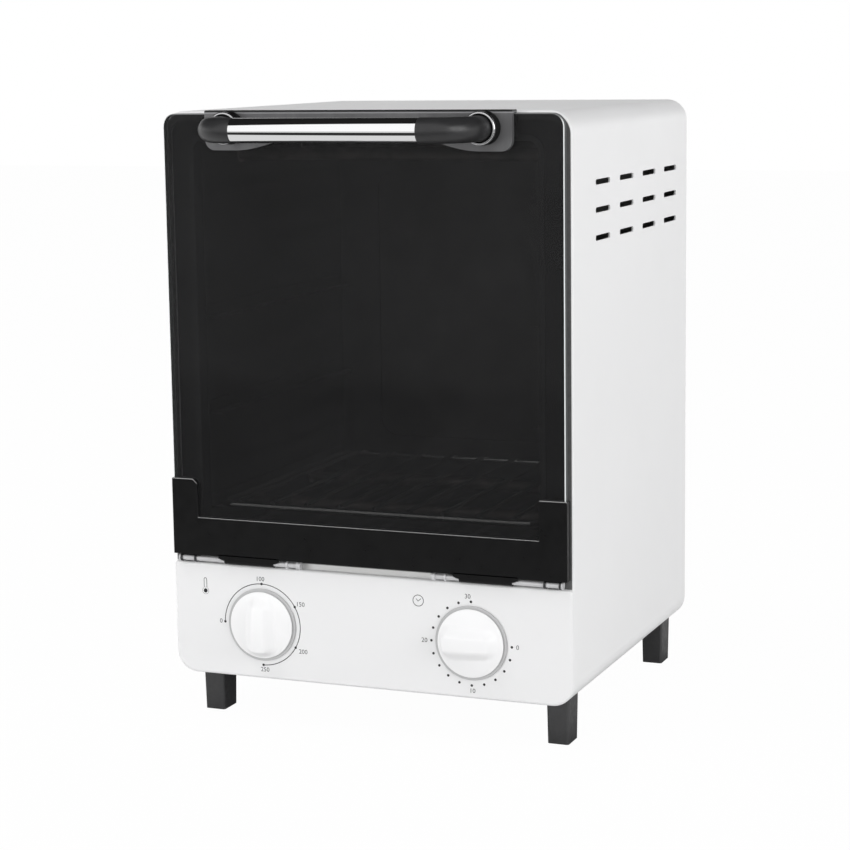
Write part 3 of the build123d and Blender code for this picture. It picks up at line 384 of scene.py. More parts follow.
screw_low, screw_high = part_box("rear_screws")
head_radius, head_height, shank_radius = 0.0036, 0.0018, 0.0019
dome_inset, dome_fall, rim_below = 0.0003, 0.0007, 0.0012
rear_face = casing_high.y
screw_middle_z = (screw_low.z + screw_high.z) / 2
screw_columns = (screw_low.x + head_radius, screw_high.x - head_radius)
screw_rows = (screw_low.z + head_radius, screw_middle_z, screw_high.z - head_radius)
recess_reach, recess_half, recess_depth = 0.0019, 0.00042, 0.0011
recess_slope, recess_fade, recess_zone = 0.00012, 0.0007, 0.0009
first_turn, row_turn, column_turn = 17, 29, 41
for column, screw_x in enumerate(screw_columns):
    for row, screw_z in enumerate(screw_rows):
        dome = np.linspace(1, 0, 26)[:, None] * (head_radius - dome_inset)
        dome_height = head_height - dome_fall * (dome / head_radius) ** 2
        shank_end = screw_low.y - rear_face
        outline = np.vstack((
            [(0, shank_end), (shank_radius, shank_end), (shank_radius, 0)],
            [(head_radius, 0), (head_radius, head_height - rim_below)],
            np.hstack((dome, dome_height)),
        ))
        head = round_axis(outline, (screw_x, rear_face, screw_z), (0, 1, 0), 72)
        aside, up = head[..., 0] - screw_x, head[..., 2] - screw_z
        turned = math.radians(first_turn + row_turn * row + column_turn * column)
        along = aside * math.cos(turned) + up * math.sin(turned)
        beside = up * math.cos(turned) - aside * math.sin(turned)
        near, far = np.minimum(abs(along), abs(beside)), np.maximum(abs(along), abs(beside))
        slot_share = np.clip((recess_half - near) / recess_slope + 0.5, 0, 1)
        slot_share = slot_share * np.clip((recess_reach - far) / recess_fade, 0, 1)
        on_dome = head[..., 1] > rear_face + head_height - recess_zone
        head[..., 1] -= np.where(on_dome, recess_depth * slot_share, 0)
        screw = skin(f"rear_screw_{column + 1}{row + 1}", head, zinc, "housing")
        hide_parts("rear_screws")


# ---- Front frame, rim strip and mouth seal ---------------------------------------------
# A painted sheet closes the front, light below the door and heat-proof black round the
# chamber's mouth. The black comes down past the top of the hinge rods into the gap under
# the door's bracket, where it is painted shade. A thin foam strip over the cover's rim,
# whose dark grey is painted shade for the gap round the pane, and a silicone ring round
# the mouth take up the door.
frame_coat = coat("heatproof_paint", (0.72, 0.72, 0.715), 0.42, tone=0.03, tone_size=0.04,
                  grain_size=0.0009, grain_depth=0.00001)
# The black below the bracket is painted shade.
painted_shade_drop, paint_blur = 0.0019, 0.0006
black_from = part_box("hinge_rod_left")[1].z - painted_shade_drop
tree = frame_coat.node_tree
place = parts_of(tree, "TexCoord", "Object")
paint_over(frame_coat, ramp(tree, place["Z"], black_from, black_from + paint_blur),
           (0.02, 0.02, 0.02))
dress(frame_coat, "front_frame")

# The strip's dark grey is painted shade for the gap between the pane and the rim.
strip_foam = coat("strip_foam", (0.12, 0.12, 0.12), 0.9, specular=0.3, tone=0.12,
                  tone_size=0.003, grain_size=0.0005, grain_depth=0.00008)
rim_radius, bend_radius, strip_thick, strip_inner = 0.013, 0.0015, 0.0004, 0.0055
strip_outer_side, strip_outer_top, strip_sunk = 0.0011, 0.0013, 0.00002
strip_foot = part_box("rim_strip")[0].z
corner = (casing_high.x - rim_radius, casing_high.z - rim_radius)
quarter = np.linspace(0, np.pi / 2, 20)
round_right = on_circle(corner, rim_radius, quarter)
rim_path = np.vstack(([(casing_high.x, strip_foot)], round_right, round_right[::-1] * (-1, 1),
                      [(-casing_high.x, strip_foot)]))
outward = on_circle((0, 0), 1, np.hstack((0, quarter, np.pi - quarter[::-1], np.pi)))
strip_outer = strip_outer_side + (strip_outer_top - strip_outer_side) * outward[:, 1]
share = np.linspace(0, 1, 6)
in_from_edge = np.column_stack((strip_outer[:, None] * (1 - share) + bend_radius * share,
                                np.full(len(outward), strip_inner)))
on_bend = np.clip(bend_radius - in_from_edge, 0, None)
rim_face = casing_front + bend_radius - np.sqrt(bend_radius ** 2 - on_bend ** 2)
inward_steps = np.hstack((in_from_edge, in_from_edge[:, ::-1]))
depth = np.hstack((rim_face - strip_thick, rim_face[:, ::-1] + strip_sunk))
across = rim_path[:, None, :] - inward_steps[:, :, None] * outward[:, None, :]
strip_grid = np.stack((across[..., 0], depth, across[..., 1]), axis=-1)
foam = skin("rim_foam", closed_ends(strip_grid), strip_foam, "housing", crease=30)
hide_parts("rim_strip")

seal_silicone = coat("seal_silicone", (0.05, 0.05, 0.05), 0.55, tone=0.1, tone_size=0.01,
                     grain_size=0.0012, grain_depth=0.00001)
dress(seal_silicone, "mouth_seal", "glass_seat")


# ---- Control panel and its printing ----------------------------------------------------
# The panel is a shallow pressed steel tray, powder coated like the cover. The dial marks
# and the plain numbers are screen printed on it in black.
panel_coat = coat("panel_coat", (0.80, 0.80, 0.805), 0.38, tone=0.006, tone_size=0.1, gloss=0.12,
                  grain_size=0.0011, grain_depth=0.000005, specks=0.05)
dress(panel_coat, "fascia_panel")

panel_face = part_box("fascia_panel")[0].y
ink_height = 0.00002
ink_points, ink_faces = [], []


def print_ink(points, faces):
    """Adds one printed shape to the ink: points are (x, z, side), with side 1 at the
    ink's outer face and 0 just inside the panel."""
    across, up, side = np.asarray(points, float).T
    depth = panel_face + ink_height - 2 * ink_height * side
    start = sum(len(part) for part in ink_points)
    ink_points.append(np.column_stack((across, depth, up)))
    ink_faces.extend([tuple(number + start for number in face) for face in faces])


def printed_line(path, width, loop=False):
    """A line of one width along a path: two rows of points stand half the width to each
    side of it, on the ink's outer face and again inside the panel."""
    path = np.asarray(path, float)
    if loop:
        ahead_of = np.roll(path, -1, axis=0) - np.roll(path, 1, axis=0)
    else:
        ahead_of = np.gradient(path, axis=0)
    ahead_of /= np.linalg.norm(ahead_of, axis=1)[:, None]
    beside = np.column_stack((-ahead_of[:, 1], ahead_of[:, 0])) * width / 2
    count = len(path)
    points = np.vstack([
        np.column_stack((path + sign * beside, np.full(count, side)))
        for sign, side in ((1, 1), (-1, 1), (-1, 0), (1, 0))
    ])
    one = np.arange(count if loop else count - 1)
    two = (one + 1) % count
    faces = []
    for band in range(4):
        here, there = band * count, (band + 1) % 4 * count
        faces += np.column_stack((one + here, two + here, two + there, one + there)).tolist()
    if not loop:
        starts = np.arange(4) * count
        faces += [starts.tolist(), (starts[::-1] + count - 1).tolist()]
    print_ink(points, faces)


def printed_dots(centres, radius, steps=20):
    """Round dots: a circle on the ink's outer face and one inside the panel, joined."""
    angle = np.linspace(0, 2 * np.pi, steps, endpoint=False)
    front = tuple(range(steps - 1, -1, -1))
    back = tuple(range(steps, 2 * steps))
    walls = [(k, (k + 1) % steps, (k + 1) % steps + steps, k + steps) for k in range(steps)]
    for centre in centres:
        circle = on_circle(centre, radius, angle)
        sides = [np.column_stack((circle, np.full(steps, side))) for side in (1, 0)]
        print_ink(np.vstack(sides), [front, back] + walls)


def printed_number(text, centre, height):
    """A number in the plain built-in face, made a mesh, scaled so that it stands as high
    as given and moved so that its middle is at the centre."""
    curve = bpy.data.curves.new("number", "FONT")
    curve.body = text
    curve.extrude = 0.5
    curve.resolution_u = 3
    holder = bpy.data.objects.new("number", curve)
    mesh = bpy.data.meshes.new_from_object(holder)
    flat = np.empty(len(mesh.vertices) * 3)
    mesh.vertices.foreach_get("co", flat)
    flat = flat.reshape(-1, 3)
    low, high = flat.min(0), flat.max(0)
    scale = height / (high[1] - low[1])
    placed = (flat[:, :2] - (low + high)[:2] / 2) * scale + centre
    faces = [tuple(face.vertices) for face in mesh.polygons]
    print_ink(np.column_stack((placed, flat[:, 2] + curve.extrude)), faces)
    bpy.data.objects.remove(holder)
    bpy.data.meshes.remove(mesh)
    bpy.data.curves.remove(curve)


def clock_angle(degrees):
    """Angles in radians of places on a dial, in degrees clockwise from 12 o'clock."""
    return np.pi / 2 - np.radians(np.asarray(degrees, float))


mark_radius, mark_dot, line_width, digit_height = 0.025, 0.0008, 0.0005, 0.0027
thermostat_x, timer_x = -0.069, 0.0655
dial_z, timer_marks_z = casing_foot + 0.0335, casing_foot + 0.033
thermostat_first, thermostat_last = -90, 180
thermostat_marks = (thermostat_first, 0, 60, 120, thermostat_last)
timer_dots, timer_step, timer_first = 16, 18, 90
timer_marks = np.arange(timer_dots) * timer_step + timer_first
for centre, marks in (((thermostat_x, dial_z), thermostat_marks),
                      ((timer_x, timer_marks_z), timer_marks)):
    printed_dots(on_circle(centre, mark_radius, clock_angle(marks)), mark_dot)
sweep = clock_angle(np.linspace(thermostat_first, thermostat_last, 136))
printed_line(on_circle((thermostat_x, dial_z), mark_radius, sweep), line_width)
# Each number stands with its middle at an x and at a z above the casing's foot.
numbers = (
    ("100", -0.0696, 0.06155), ("150", -0.0433, 0.0479), ("200", -0.0424, 0.0189),
    ("250", -0.0680, 0.0058), ("0", -0.0968, 0.03375), ("30", 0.0635, 0.0611),
    ("20", 0.0361, 0.0329), ("10", 0.0662, 0.0049), ("0", 0.0940, 0.0331),
)
for text, number_x, number_z in numbers:
    printed_number(text, (number_x, casing_foot + number_z), digit_height)

clock_centre = np.array((0.0325, casing_foot + 0.0562))
clock_radius, clock_line, hand_line = 0.0033, 0.0004, 0.00034
hand_tips, hand_root = ((-0.0013, 0.0011), (0.0018, 0.0013)), (-0.0001, -0.0004)
whole_turn = np.linspace(0, 2 * np.pi, 48, endpoint=False)
printed_line(on_circle(clock_centre, clock_radius, whole_turn), clock_line, loop=True)
for tip in hand_tips:
    printed_line(clock_centre + np.array([tip, hand_root]), hand_line)

bulb = np.array((-0.1068, casing_foot + 0.0517))
stem_half, stem_foot, stem_top, stem_line = 0.0009, 0.0021, 0.0070, 0.00036
bulb_radius, arc_radius, arc_line, arc_from, arc_to = 0.0013, 0.0021, 0.00016, 125, 415
half_turn = np.linspace(0, np.pi, 13)
stem = np.vstack(([(stem_half, stem_foot)], on_circle((0, stem_top), stem_half, half_turn),
                  [(-stem_half, stem_foot)]))
printed_line(bulb + stem, stem_line, loop=True)
printed_dots([bulb], bulb_radius)
around_bulb = np.radians(np.linspace(arc_from, arc_to, 40))
printed_line(on_circle(bulb, arc_radius, around_bulb), arc_line)

panel_ink = coat("panel_ink", (0.014, 0.014, 0.015), 0.5, tone=0.25, tone_size=0.0009,
                 grain_size=0.0003, grain_depth=0.000004)
made_mesh("panel_print", np.vstack(ink_points), ink_faces, panel_ink, "housing",
          crease=30)


# ---- Feet ------------------------------------------------------------------------------
# Four tapered block feet, moulded in dark grey plastic with a fine matt texture. Each is
# screwed to the base plate from inside.
foot_plastic = coat("foot_plastic", (0.04, 0.04, 0.041), 0.55, tone=0.08, tone_size=0.008,
                    gloss=0.2, grain_size=0.0007, grain_depth=0.00005)
dress(foot_plastic, "foot_front_left", "foot_front_right", "foot_rear_left", "foot_rear_right")


# ---- Cord inlet and terminal block -----------------------------------------------------
# A black moulded bush snapped into the rear panel, and an ivory terminal block behind it
# on the base, where the supply cord's cores are clamped.
inlet_plastic = coat("inlet_plastic", (0.03, 0.03, 0.031), 0.5, tone=0.1, tone_size=0.01,
                     grain_size=0.0007, grain_depth=0.00004)
dress(inlet_plastic, "cord_inlet")
terminal_plastic = coat("terminal_plastic", (0.7, 0.69, 0.63), 0.5, tone=0.04, tone_size=0.01,
                        grain_size=0.0009, grain_depth=0.00003)
dress(terminal_plastic, "terminal_block")


# ---- Chamber, rails and rack -----------------------------------------------------------
# Rolled stainless sheet, spot welded, with the roll's grain along the walls and patches
# that the heat has dulled. The rack is welded from steel wire and chrome plated.
chamber_steel = coat("chamber_steel", (0.17, 0.167, 0.163), 0.45, metallic=1.0, tone=0.16,
                     tone_size=0.03, gloss=0.3, grain_size=0.0005, grain_depth=0.00002,
                     stretch=(1, 0.06, 1))
dress(chamber_steel, "chamber_left_wall", "chamber_right_wall", "chamber_roof", "chamber_floor",
      "chamber_back", "rack_rails_left", "rack_rails_right")
rack_plating = coat("rack_plating", (0.95, 0.95, 0.94), 0.13, metallic=1.0, tone=0.04,
                    tone_size=0.006, gloss=0.35, grain_size=0.0008, grain_depth=0.00001)
dress(rack_plating, "wire_rack")


# ---- Heaters ---------------------------------------------------------------------------
# Four rods in steel sheaths that heat has turned brown-grey, each in two unglazed
# ceramic bushes, greyed by use, in the chamber's side walls.
heater_sheath = coat("heater_sheath", (0.27, 0.24, 0.22), 0.5, metallic=1.0, tone=0.3,
                     tone_size=0.012, gloss=0.3, grain_size=0.0005, grain_depth=0.00002)
dress(heater_sheath, "heater_lower_front", "heater_lower_rear", "heater_upper_front",
      "heater_upper_rear")
bush_ceramic = coat("bush_ceramic", (0.36, 0.34, 0.31), 0.65, tone=0.12, tone_size=0.004,
                    grain_size=0.0004, grain_depth=0.00004, specks=0.3)
dress(bush_ceramic, "heater_bushes")


# ---- Thermostat and timer --------------------------------------------------------------
# Plated steel cans behind the front frame, held by a nut each. The timer carries a
# nickel-plated bell. Their shafts are turned rods with a flat.
can_steel = coat("can_steel", (0.6, 0.6, 0.6), 0.3, metallic=1.0, tone=0.08, tone_size=0.01,
                 grain_size=0.0005, grain_depth=0.000008, stretch=(1, 0.1, 1))
dress(can_steel, "thermostat_body", "timer_body", "thermostat_nut", "timer_nut")
bell_nickel = coat("bell_nickel", (0.7, 0.66, 0.59), 0.2, metallic=1.0, tone=0.06,
                   tone_size=0.01, grain_size=0.0008, grain_depth=0.000004)
dress(bell_nickel, "timer_bell")
shaft_metal = coat("shaft_metal", (0.7, 0.7, 0.71), 0.28, metallic=1.0, tone=0.04,
                   tone_size=0.004, grain_size=0.0003, grain_depth=0.000006,
                   stretch=(0.2, 1, 0.2))
dress(shaft_metal, "thermostat_shaft", "timer_shaft")


# ---- Knobs -----------------------------------------------------------------------------
# Two moulded knobs pushed on the shafts: a thin skirt, painted grey as the shade round the
# head, a flat white head that stands over it, and on it a soft ridge, tall and wide at its
# tail, low at the pointer.
knob_plastic = coat("knob_plastic", (0.87, 0.87, 0.875), 0.34, tone=0.004, tone_size=0.02,
                    gloss=0.08, grain_size=0.0008, grain_depth=0.000001)
knob_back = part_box("thermostat_knob")[1].y
bore_radius, bore_depth = 0.00305, 0.008
skirt_radius, skirt_thick, neck_radius = 0.0222, 0.0004, 0.0160
skirt_round, fine_round, head_round = 0.0002, 0.0004, 0.0003
head_radius_wide, head_under, head_edge, crown = 0.0204, 0.0009, 0.0016, 0.0042
bevel_in, bevel_up = 0.0006, 0.0002
ridge_height, tail_half, tip_half, tip_drop = 0.0098, 0.0078, 0.0058, 0.45
shoulder, shoulder_fall, end_fall, end_fall_more = 1.45, 0.95, 0.004, 0.006
skirt_shade_near, skirt_shade_far = 0.0007, 0.0004
skirt_front = knob_back - skirt_thick
tree = knob_plastic.node_tree
place = parts_of(tree, "TexCoord", "Object")
# The skirt and the foot of the neck are painted grey as shade.
paint_over(knob_plastic, ramp(tree, place["Y"], skirt_front - skirt_shade_near, skirt_front - skirt_shade_far),
           (0.5, 0.5, 0.505))


def smooth(value):
    """A smooth step: 3 x x - 2 x x x of the value x, held between 0 and 1."""
    value = np.clip(value, 0, 1)
    return value * value * (3 - 2 * value)


def knob_surface(dial_x, pointer):
    """The knob as a turned profile, a thin skirt with a wider head over a neck, whose
    face is lifted into a ridge: the lift is a smooth fall across the ridge, whose width
    shrinks from the tail to the tip, times a smooth fall towards the face's edge."""
    back = [(0, bore_depth, 0), (bore_radius, bore_depth, 0), (bore_radius, 0, 0),
            (skirt_radius, 0, skirt_round), (skirt_radius, skirt_thick, fine_round),
            (neck_radius, skirt_thick, fine_round), (neck_radius, head_under, fine_round),
            (head_radius_wide, head_under, head_round), (head_radius_wide, head_edge, fine_round),
            (head_radius_wide - bevel_in, head_edge + bevel_up, 0)]
    side = rounded(back, 8)
    face_radius, face_height = side[-1]
    inward = np.linspace(1, 0, 72)[1:] * face_radius
    rise = face_height + (crown - face_height) * (1 - (inward / face_radius) ** 2)
    outline = np.vstack((side, np.column_stack((inward, rise))))
    grid = round_axis(outline, (dial_x, knob_back, dial_z), (0, -1, 0), 180)
    aside, up = grid[..., 0] - dial_x, grid[..., 2] - dial_z
    along = aside * pointer[0] + up * pointer[1]
    across = np.abs(up * pointer[0] - aside * pointer[1])
    toward_tip = np.clip(along / head_radius_wide * 0.5 + 0.5, 0, 1)
    half = tail_half + (tip_half - tail_half) * toward_tip
    fall = smooth(shoulder - across / half * shoulder_fall)
    end = smooth((face_radius - np.hypot(aside, up)) / (end_fall + end_fall_more * toward_tip))
    lift = (ridge_height - crown) * fall * end * (1 - tip_drop * toward_tip)
    lift[:len(side)] = 0
    grid[..., 1] -= lift
    return grid


for control, dial_x, pointer in (("thermostat", thermostat_x, (0, 1)), ("timer", timer_x, (1, 0))):
    knob = skin(f"{control}_knob_moulding", knob_surface(dial_x, pointer), knob_plastic,
                f"{control}_dial", crease=50)
    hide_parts(f"{control}_knob")


# ---- Door glass ------------------------------------------------------------------------
# A 4 mm tempered pane, tinted nearly black, with sawn grey edges and a chamfer ground
# along them, frosted, with a painted highlight in white along the sides and painted shade
# in dull grey on top. It stands in the bracket on silicone.
pane_low, pane_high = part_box("glass_pane")
pane_corner, ground_width, ground_blur = 0.0075, 0.0006, 0.0001
chamfer_turn, face_turn, shaded_top_turn = (0.2, 0.4), (0.85, 0.95), (0.2, 0.6)
edge_dull, face_alpha = 0.6, 0.53
dark_glass = coat("dark_glass", (0.02, 0.02, 0.0205), 0.05, specular=0.1, tone=0.1,
                  tone_size=0.08, gloss=0.4, grain_size=0.03, grain_depth=0.00002)
tree = dark_glass.node_tree
shader = tree.nodes["Principled BSDF"]
place = parts_of(tree, "TexCoord", "Object")
half_wide = (pane_high.x - pane_low.x) / 2 - pane_corner
half_tall = (pane_high.z - pane_low.z) / 2 - pane_corner
centred_z = calculate(tree, "SUBTRACT", place["Z"], (pane_low.z + pane_high.z) / 2)
past_x, past_z = (
    calculate(tree, "SUBTRACT", calculate(tree, "ABSOLUTE", out), half)
    for out, half in ((place["X"], half_wide), (centred_z, half_tall))
)
outside = [calculate(tree, "MAXIMUM", past, 0.0) for past in (past_x, past_z)]
squares = [calculate(tree, "MULTIPLY", out, out) for out in outside]
corner_reach = calculate(tree, "POWER", calculate(tree, "ADD", *squares), 0.5)
inside = calculate(tree, "MINIMUM", calculate(tree, "MAXIMUM", past_x, past_z), 0.0)
edge_distance = calculate(tree, "ADD", corner_reach, inside)
ground_line = pane_corner - ground_width
ground = ramp(tree, edge_distance, ground_line - ground_blur, ground_line + ground_blur)
surface_turn = parts_of(tree, "NewGeometry", "True Normal")
front_share = calculate(tree, "ABSOLUTE", surface_turn["Y"])
on_chamfer = calculate(tree, "MULTIPLY", ramp(tree, front_share, *chamfer_turn),
                       ramp(tree, front_share, *face_turn, 1.0, 0.0))
# The chamfer is white on the sides as a painted highlight and dull grey on top as painted shade.
frost_and_highlight = blend(tree, ramp(tree, surface_turn["Z"], *shaded_top_turn), (0.8, 0.82, 0.82),
                 (0.2, 0.205, 0.205))
paint_over(dark_glass, ground, blend(tree, on_chamfer, (0.1, 0.105, 0.105), frost_and_highlight))
edge_rough = shader_node(tree, "Mix", data_type="FLOAT", B=edge_dull)
tree.links.new(ground, edge_rough.inputs[0])
tree.links.new(shader.inputs["Roughness"].links[0].from_socket, edge_rough.inputs[2])
tree.links.new(edge_rough.outputs[0], shader.inputs["Roughness"])
tree.links.new(ramp(tree, ground, 0.0, 1.0, face_alpha, 1.0), shader.inputs["Alpha"])
dress(dark_glass, "glass_pane")


# ---- Door bracket and hinge ------------------------------------------------------------
# A folded steel channel takes the pane's foot, and its tabs roll under into knuckles on
# two steel rods. It is stoved satin black, with a painted highlight in light grey along
# its upper front edges. The rods and the saddles that hold them are dull zinc, and the
# outer saddles are near black as painted shade.
bracket_black = coat("bracket_black", (0.0045, 0.0045, 0.0047), 0.34, specular=0.18, tone=0.08,
                     tone_size=0.02, gloss=0.2, grain_size=0.0009, grain_depth=0.000008)
highlight_radius, highlight_up, highlight_out, highlight_share = 0.0008, (0.2, 0.5), (0.15, 0.5), 0.9
tree = bracket_black.node_tree
# The upper front edges are lightened as a painted highlight.
softened = shader_node(tree, "Bevel", samples=6, Radius=highlight_radius)
facing = shader_node(tree, "SeparateXYZ")
tree.links.new(softened.outputs["Normal"], facing.inputs[0])
upward = ramp(tree, facing.outputs["Z"], *highlight_up)
outward = ramp(tree, calculate(tree, "MULTIPLY", facing.outputs["Y"], -1.0), *highlight_out)
edge_highlight = calculate(tree, "MULTIPLY", calculate(tree, "MULTIPLY", upward, outward), highlight_share)
paint_over(bracket_black, edge_highlight, (0.42, 0.42, 0.42))

bracket_low, bracket_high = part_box("door_bracket")
pane_gap, pane_seat, sheet, fold_radius = 0.0003, 0.0016, 0.0008, 0.00035
arm_width, arm_depth, band_height = 0.017, 0.005, 0.02314
left_cut, right_cut = 0.0029, 0.0005
pane_wide, pane_foot = pane_high.x + pane_gap, pane_low.z - pane_seat
channel_foot = pane_foot - sheet
arm_in, band_top = bracket_high.x - arm_width, channel_foot + band_height


def corner_rails(side, cut):
    """One arm from its top to the corner where it meets the band, as three stations of
    four rails: the outer edge, the channel's wall, the line where the cut corner starts
    and the inner edge. x is mirrored by the side; the cut takes the inner top corner."""
    across = [bracket_high.x, pane_wide, arm_in + cut, arm_in]
    top, below = bracket_high.z, bracket_high.z - arm_depth
    stations = [(top, top, top, top - cut), (below, below, below, below),
                (channel_foot, pane_foot, band_top - cut, band_top)]
    return np.array([np.column_stack((across, up)) for up in stations]) * (side, 1)


rails = np.concatenate((corner_rails(-1, left_cut), corner_rails(1, right_cut)[::-1]))
# The channel's section is a U round the pane: along the front face to the inner edge,
# back along the pane to the channel's wall, and the same again behind the pane.
wall_y = (bracket_low.y, pane_low.y, pane_high.y, bracket_high.y)
loop_rail = np.array([0, 1, 2, 3, 3, 2, 1, 1, 2, 3, 3, 2, 1, 0])
loop_y = np.repeat(wall_y, (4, 3, 3, 4))
channel_grid = np.stack((rails[:, loop_rail, 0], np.tile(loop_y, (len(rails), 1)),
                         rails[:, loop_rail, 1]), axis=-1)
ring_count, around = channel_grid.shape[:2]
ring, here = np.meshgrid(np.arange(ring_count - 1), np.arange(around), indexing="ij")
there = (here + 1) % around
sides = np.stack((ring * around + there, ring * around + here, (ring + 1) * around + here,
                  (ring + 1) * around + there), axis=-1).reshape(-1, 4)
# Each end is closed by five flat faces over the points of its section.
end_faces = [(1, 2, 5, 6), (2, 3, 4, 5), (0, 1, 6, 7, 12, 13), (7, 8, 11, 12), (8, 9, 10, 11)]
last_ring = (ring_count - 1) * around
channel_faces = (sides.tolist() + end_faces
                 + [tuple(last_ring + point for point in face[::-1]) for face in end_faces])
channel = made_mesh("bracket_channel", channel_grid.reshape(-1, 3), channel_faces,
                    bracket_black, "door", crease=30)
soft_edges = channel.modifiers.new("rolled_edges", "BEVEL")
soft_edges.width, soft_edges.segments, soft_edges.limit_method = fold_radius, 2, "ANGLE"
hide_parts("door_bracket")

rod_low, rod_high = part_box("hinge_rod_left")
rod_y, rod_z = (rod_low.y + rod_high.y) / 2, (rod_low.z + rod_high.z) / 2
tab_wide, tab_narrow, sheet_half = (0.0557, 0.0956), (0.0595, 0.0918), sheet / 2
tab_root, narrow_from, narrow_over = 0.001, 0.0013, 0.0016
drop_rows, curl_rows = 12, 24
curl_middle = rod_y - (bracket_low.y + sheet_half)
around_rod = np.linspace(np.pi, 2 * np.pi, curl_rows)
drop_z = np.linspace(channel_foot + tab_root, rod_z, drop_rows, endpoint=False)
tab_line = np.vstack((np.column_stack((np.full(drop_rows, rod_y - curl_middle), drop_z)),
                      on_circle((rod_y, rod_z), curl_middle, around_rod)))
line_normal = np.vstack((np.tile((1.0, 0.0), (drop_rows, 1)), on_circle((0, 0), -1, around_rod)))
narrowed = np.clip((channel_foot - narrow_from - tab_line[:, 1]) / narrow_over, 0, 1)
narrowed[drop_rows:] = 1
to_side = np.array([-1, -1, 1, 1])[None, :, None] * sheet_half
for hand, side in (("left", -1), ("right", 1)):
    reach = side * np.column_stack([wide + (narrow - wide) * narrowed
                                    for wide, narrow in zip(tab_wide, tab_narrow)])
    section_x = reach[:, (0, 1, 1, 0)]
    section_yz = tab_line[:, None, :] + line_normal[:, None, :] * to_side
    tab_grid = np.concatenate((section_x[..., None], section_yz), axis=-1)
    tab = skin(f"bracket_tab_{hand}", closed_ends(tab_grid), bracket_black, "door",
               crease=30)
    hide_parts("door_bracket")

# The outer saddles' near black is painted shade.
saddle_shade_black = coat("saddle_shade_black", (0.05, 0.05, 0.052), 0.4, metallic=0.6, tone=0.1,
                    tone_size=0.006, grain_size=0.0006, grain_depth=0.00001)
dress(saddle_shade_black, "hinge_saddle_left_outer", "hinge_saddle_right_outer")
rod_zinc = coat("rod_zinc", (0.6, 0.6, 0.61), 0.5, metallic=0.35, tone=0.05, tone_size=0.004,
                grain_size=0.0004, grain_depth=0.000004, stretch=(0.1, 1, 1))
dress(rod_zinc, "hinge_rod_left", "hinge_rod_right", "hinge_saddle_left_inner",
      "hinge_saddle_right_inner")


# ---- Handle plate ----------------------------------------------------------------------
# A cast clip over the pane's top edge, satin graphite grey, with painted shade in black
# over its hook and a painted highlight in a thin lighter line below it. It is screwed
# through the glass into the handle's posts.
plate_grey = coat("plate_grey", (0.105, 0.105, 0.108), 0.38, tone=0.22, tone_size=0.014,
                  gloss=0.2, grain_size=0.0006, grain_depth=0.00003, stretch=(1, 1, 0.25))
hook_shade_edge, bend_highlight_top, bend_highlight_foot = (0.0008, 0.0011), (0.0011, 0.0014), (0.0016, 0.0020)
bend_highlight_share = 0.8
tree = plate_grey.node_tree
place = parts_of(tree, "TexCoord", "Object")
hook_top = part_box("handle_plate")[1].z
below_hook = calculate(tree, "SUBTRACT", hook_top, place["Z"])
# A painted highlight: a thin lighter line below the hook.
bend_highlight = calculate(tree, "MULTIPLY", ramp(tree, below_hook, *bend_highlight_top),
                        ramp(tree, below_hook, *bend_highlight_foot, bend_highlight_share, 0.0))
paint_over(plate_grey, bend_highlight, (0.3, 0.3, 0.31))
# The hook is painted black as shade.
paint_over(plate_grey, ramp(tree, below_hook, *hook_shade_edge, 1.0, 0.0), (0.008, 0.008, 0.008))
dress(plate_grey, "handle_plate")
dress(zinc, "handle_screws")


# ---- Handle ----------------------------------------------------------------------------
# Two moulded posts on the plate, a bright ring on each, and two moulded elbows that turn
# from the rings into a chrome-plated tube.
# The posts are black plastic, made a deeper black than the elbows as painted shade round the
# rings.
post_black_shade = coat("post_black_shade", (0.005, 0.005, 0.005), 0.5, specular=0.2, tone=0.1,
                    tone_size=0.008, grain_size=0.0006, grain_depth=0.00003)
elbow_plastic = coat("elbow_plastic", (0.024, 0.024, 0.025), 0.36, specular=0.42, tone=0.1,
                     tone_size=0.008, grain_size=0.0006, grain_depth=0.00002)
chrome = coat("bright_chrome", (0.965, 0.965, 0.97), 0.05, metallic=1.0, tone=0.008,
              tone_size=0.02, gloss=0.3, grain_size=0.0015, grain_depth=0.0000006,
              stretch=(0.1, 1, 1))
ring_chrome = coat("ring_chrome", (0.6, 0.6, 0.61), 0.22, metallic=1.0, tone=0.05,
                   tone_size=0.003, gloss=0.3, grain_size=0.0008, grain_depth=0.000002)

tube_low, tube_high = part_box("handle_tube")
tube_y, tube_z = (tube_low.y + tube_high.y) / 2, (tube_low.z + tube_high.z) / 2
tube_radius, tube_half, tube_wall = (tube_high.z - tube_low.z) / 2, tube_high.x, 0.001
tube_bore, edge_round, seam = tube_radius - tube_wall, 0.0002, 0.001
tube_outline = rounded([
    (tube_bore, 0, 0), (tube_bore, -tube_half, edge_round), (tube_radius, -tube_half, edge_round),
    (tube_radius, tube_half, edge_round), (tube_bore, tube_half, edge_round), (tube_bore, seam, 0),
], 3)
grip = skin("grip_tube", round_axis(tube_outline, (0, tube_y, tube_z), (1, 0, 0), 160), chrome,
            "door", loop=True)
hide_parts("handle_tube")

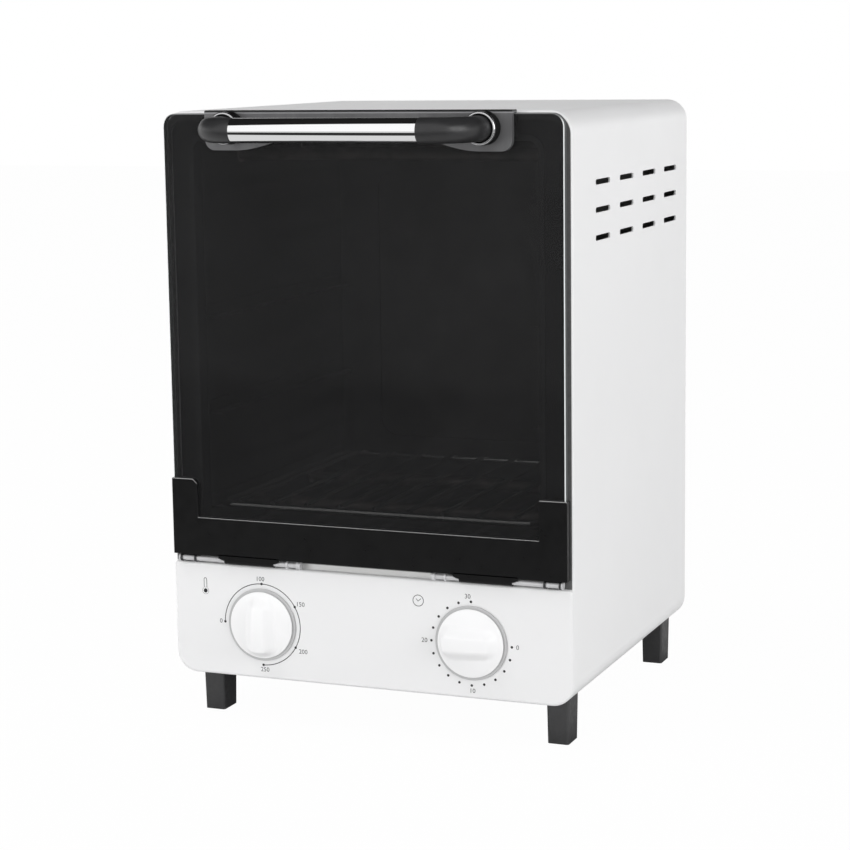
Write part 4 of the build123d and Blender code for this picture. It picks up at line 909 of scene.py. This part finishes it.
elbow_radius, elbow_bend, spigot, spigot_gap, lip = 0.0072, 0.022, 0.010, 0.00005, 0.0004
screw_bore, bore_cap, post_taper, post_round = 0.002, 0.002, 0.0004, 0.0006
groove, ring_inset, ring_soft, inner_round, inner_seam = 0.0081, 0.0001, 0.0012, 0.0004, 0.0001
for hand, side in (("left", -1), ("right", 1)):
    post_low, post_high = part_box(f"handle_post_{hand}")
    ring_low, ring_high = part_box(f"handle_ring_{hand}")
    post_x, post_root = (post_low.x + post_high.x) / 2, post_high.y
    post_radius, post_length = (post_high.x - post_low.x) / 2, post_high.y - post_low.y
    bore_end = post_length - bore_cap
    post_outline = rounded([
        (0, bore_end, 0), (screw_bore, bore_end, 0), (screw_bore, 0, 0),
        (post_radius, 0, edge_round), (post_radius - post_taper, post_length, post_round),
        (0, post_length, 0),
    ])
    post = skin(f"post_moulding_{hand}",
                round_axis(post_outline, (post_x, post_root, tube_z), (0, -1, 0)),
                post_black_shade, "door")
    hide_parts(f"handle_post_{hand}")

    ring_radius, ring_thick = post_radius - ring_inset, ring_high.y - ring_low.y
    ring_outline = rounded([
        (groove, ring_thick / 2, 0), (groove, 0, inner_seam), (ring_radius, 0, edge_round),
        (ring_radius, ring_thick, ring_soft), (groove, ring_thick, inner_round),
        (groove, ring_thick / 2 + inner_seam, 0),
    ], 8)
    ring = skin(f"ring_{hand}",
                round_axis(ring_outline, (post_x, post_low.y, tube_z), (0, -1, 0), 128),
                ring_chrome, "door", loop=True)
    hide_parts(f"handle_ring_{hand}")

    angle = np.linspace(0, np.pi / 2, 40)
    turned = np.column_stack((side * np.cos(angle), -np.sin(angle)))
    bend = np.array((post_x - side * elbow_bend, tube_y + elbow_bend)) + elbow_bend * turned
    heading = np.column_stack((-side * np.sin(angle), -np.cos(angle)))
    root, mouth = np.array((post_x, post_low.y)), np.array((side * tube_half, tube_y))
    inward = np.array((-side, 0.0))
    spigot_end = mouth + inward * spigot
    path = np.vstack((root, root, bend, mouth - inward * lip, mouth, mouth, spigot_end,
                      spigot_end))
    heading = np.vstack(([(0, -1)] * 2, heading, [inward] * 5))
    spigot_radius = tube_bore - spigot_gap
    radius = np.hstack((0, np.full(len(bend) + 2, elbow_radius), elbow_radius - lip,
                        spigot_radius, spigot_radius, 0))[:, None, None]
    centre = np.column_stack((path, np.full(len(path), tube_z)))[:, None, :]
    beside = np.column_stack((-heading[:, 1], heading[:, 0], np.zeros(len(path))))[:, None, :]
    round_path = np.linspace(0, 2 * np.pi, 96, endpoint=False)[None, :, None]
    grid = centre + radius * (np.cos(round_path) * beside
                              + np.sin(round_path) * np.array((0, 0, 1.0)))
    elbow = skin(f"elbow_moulding_{hand}", grid, elbow_plastic, "door", crease=35)
    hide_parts(f"handle_elbow_{hand}")
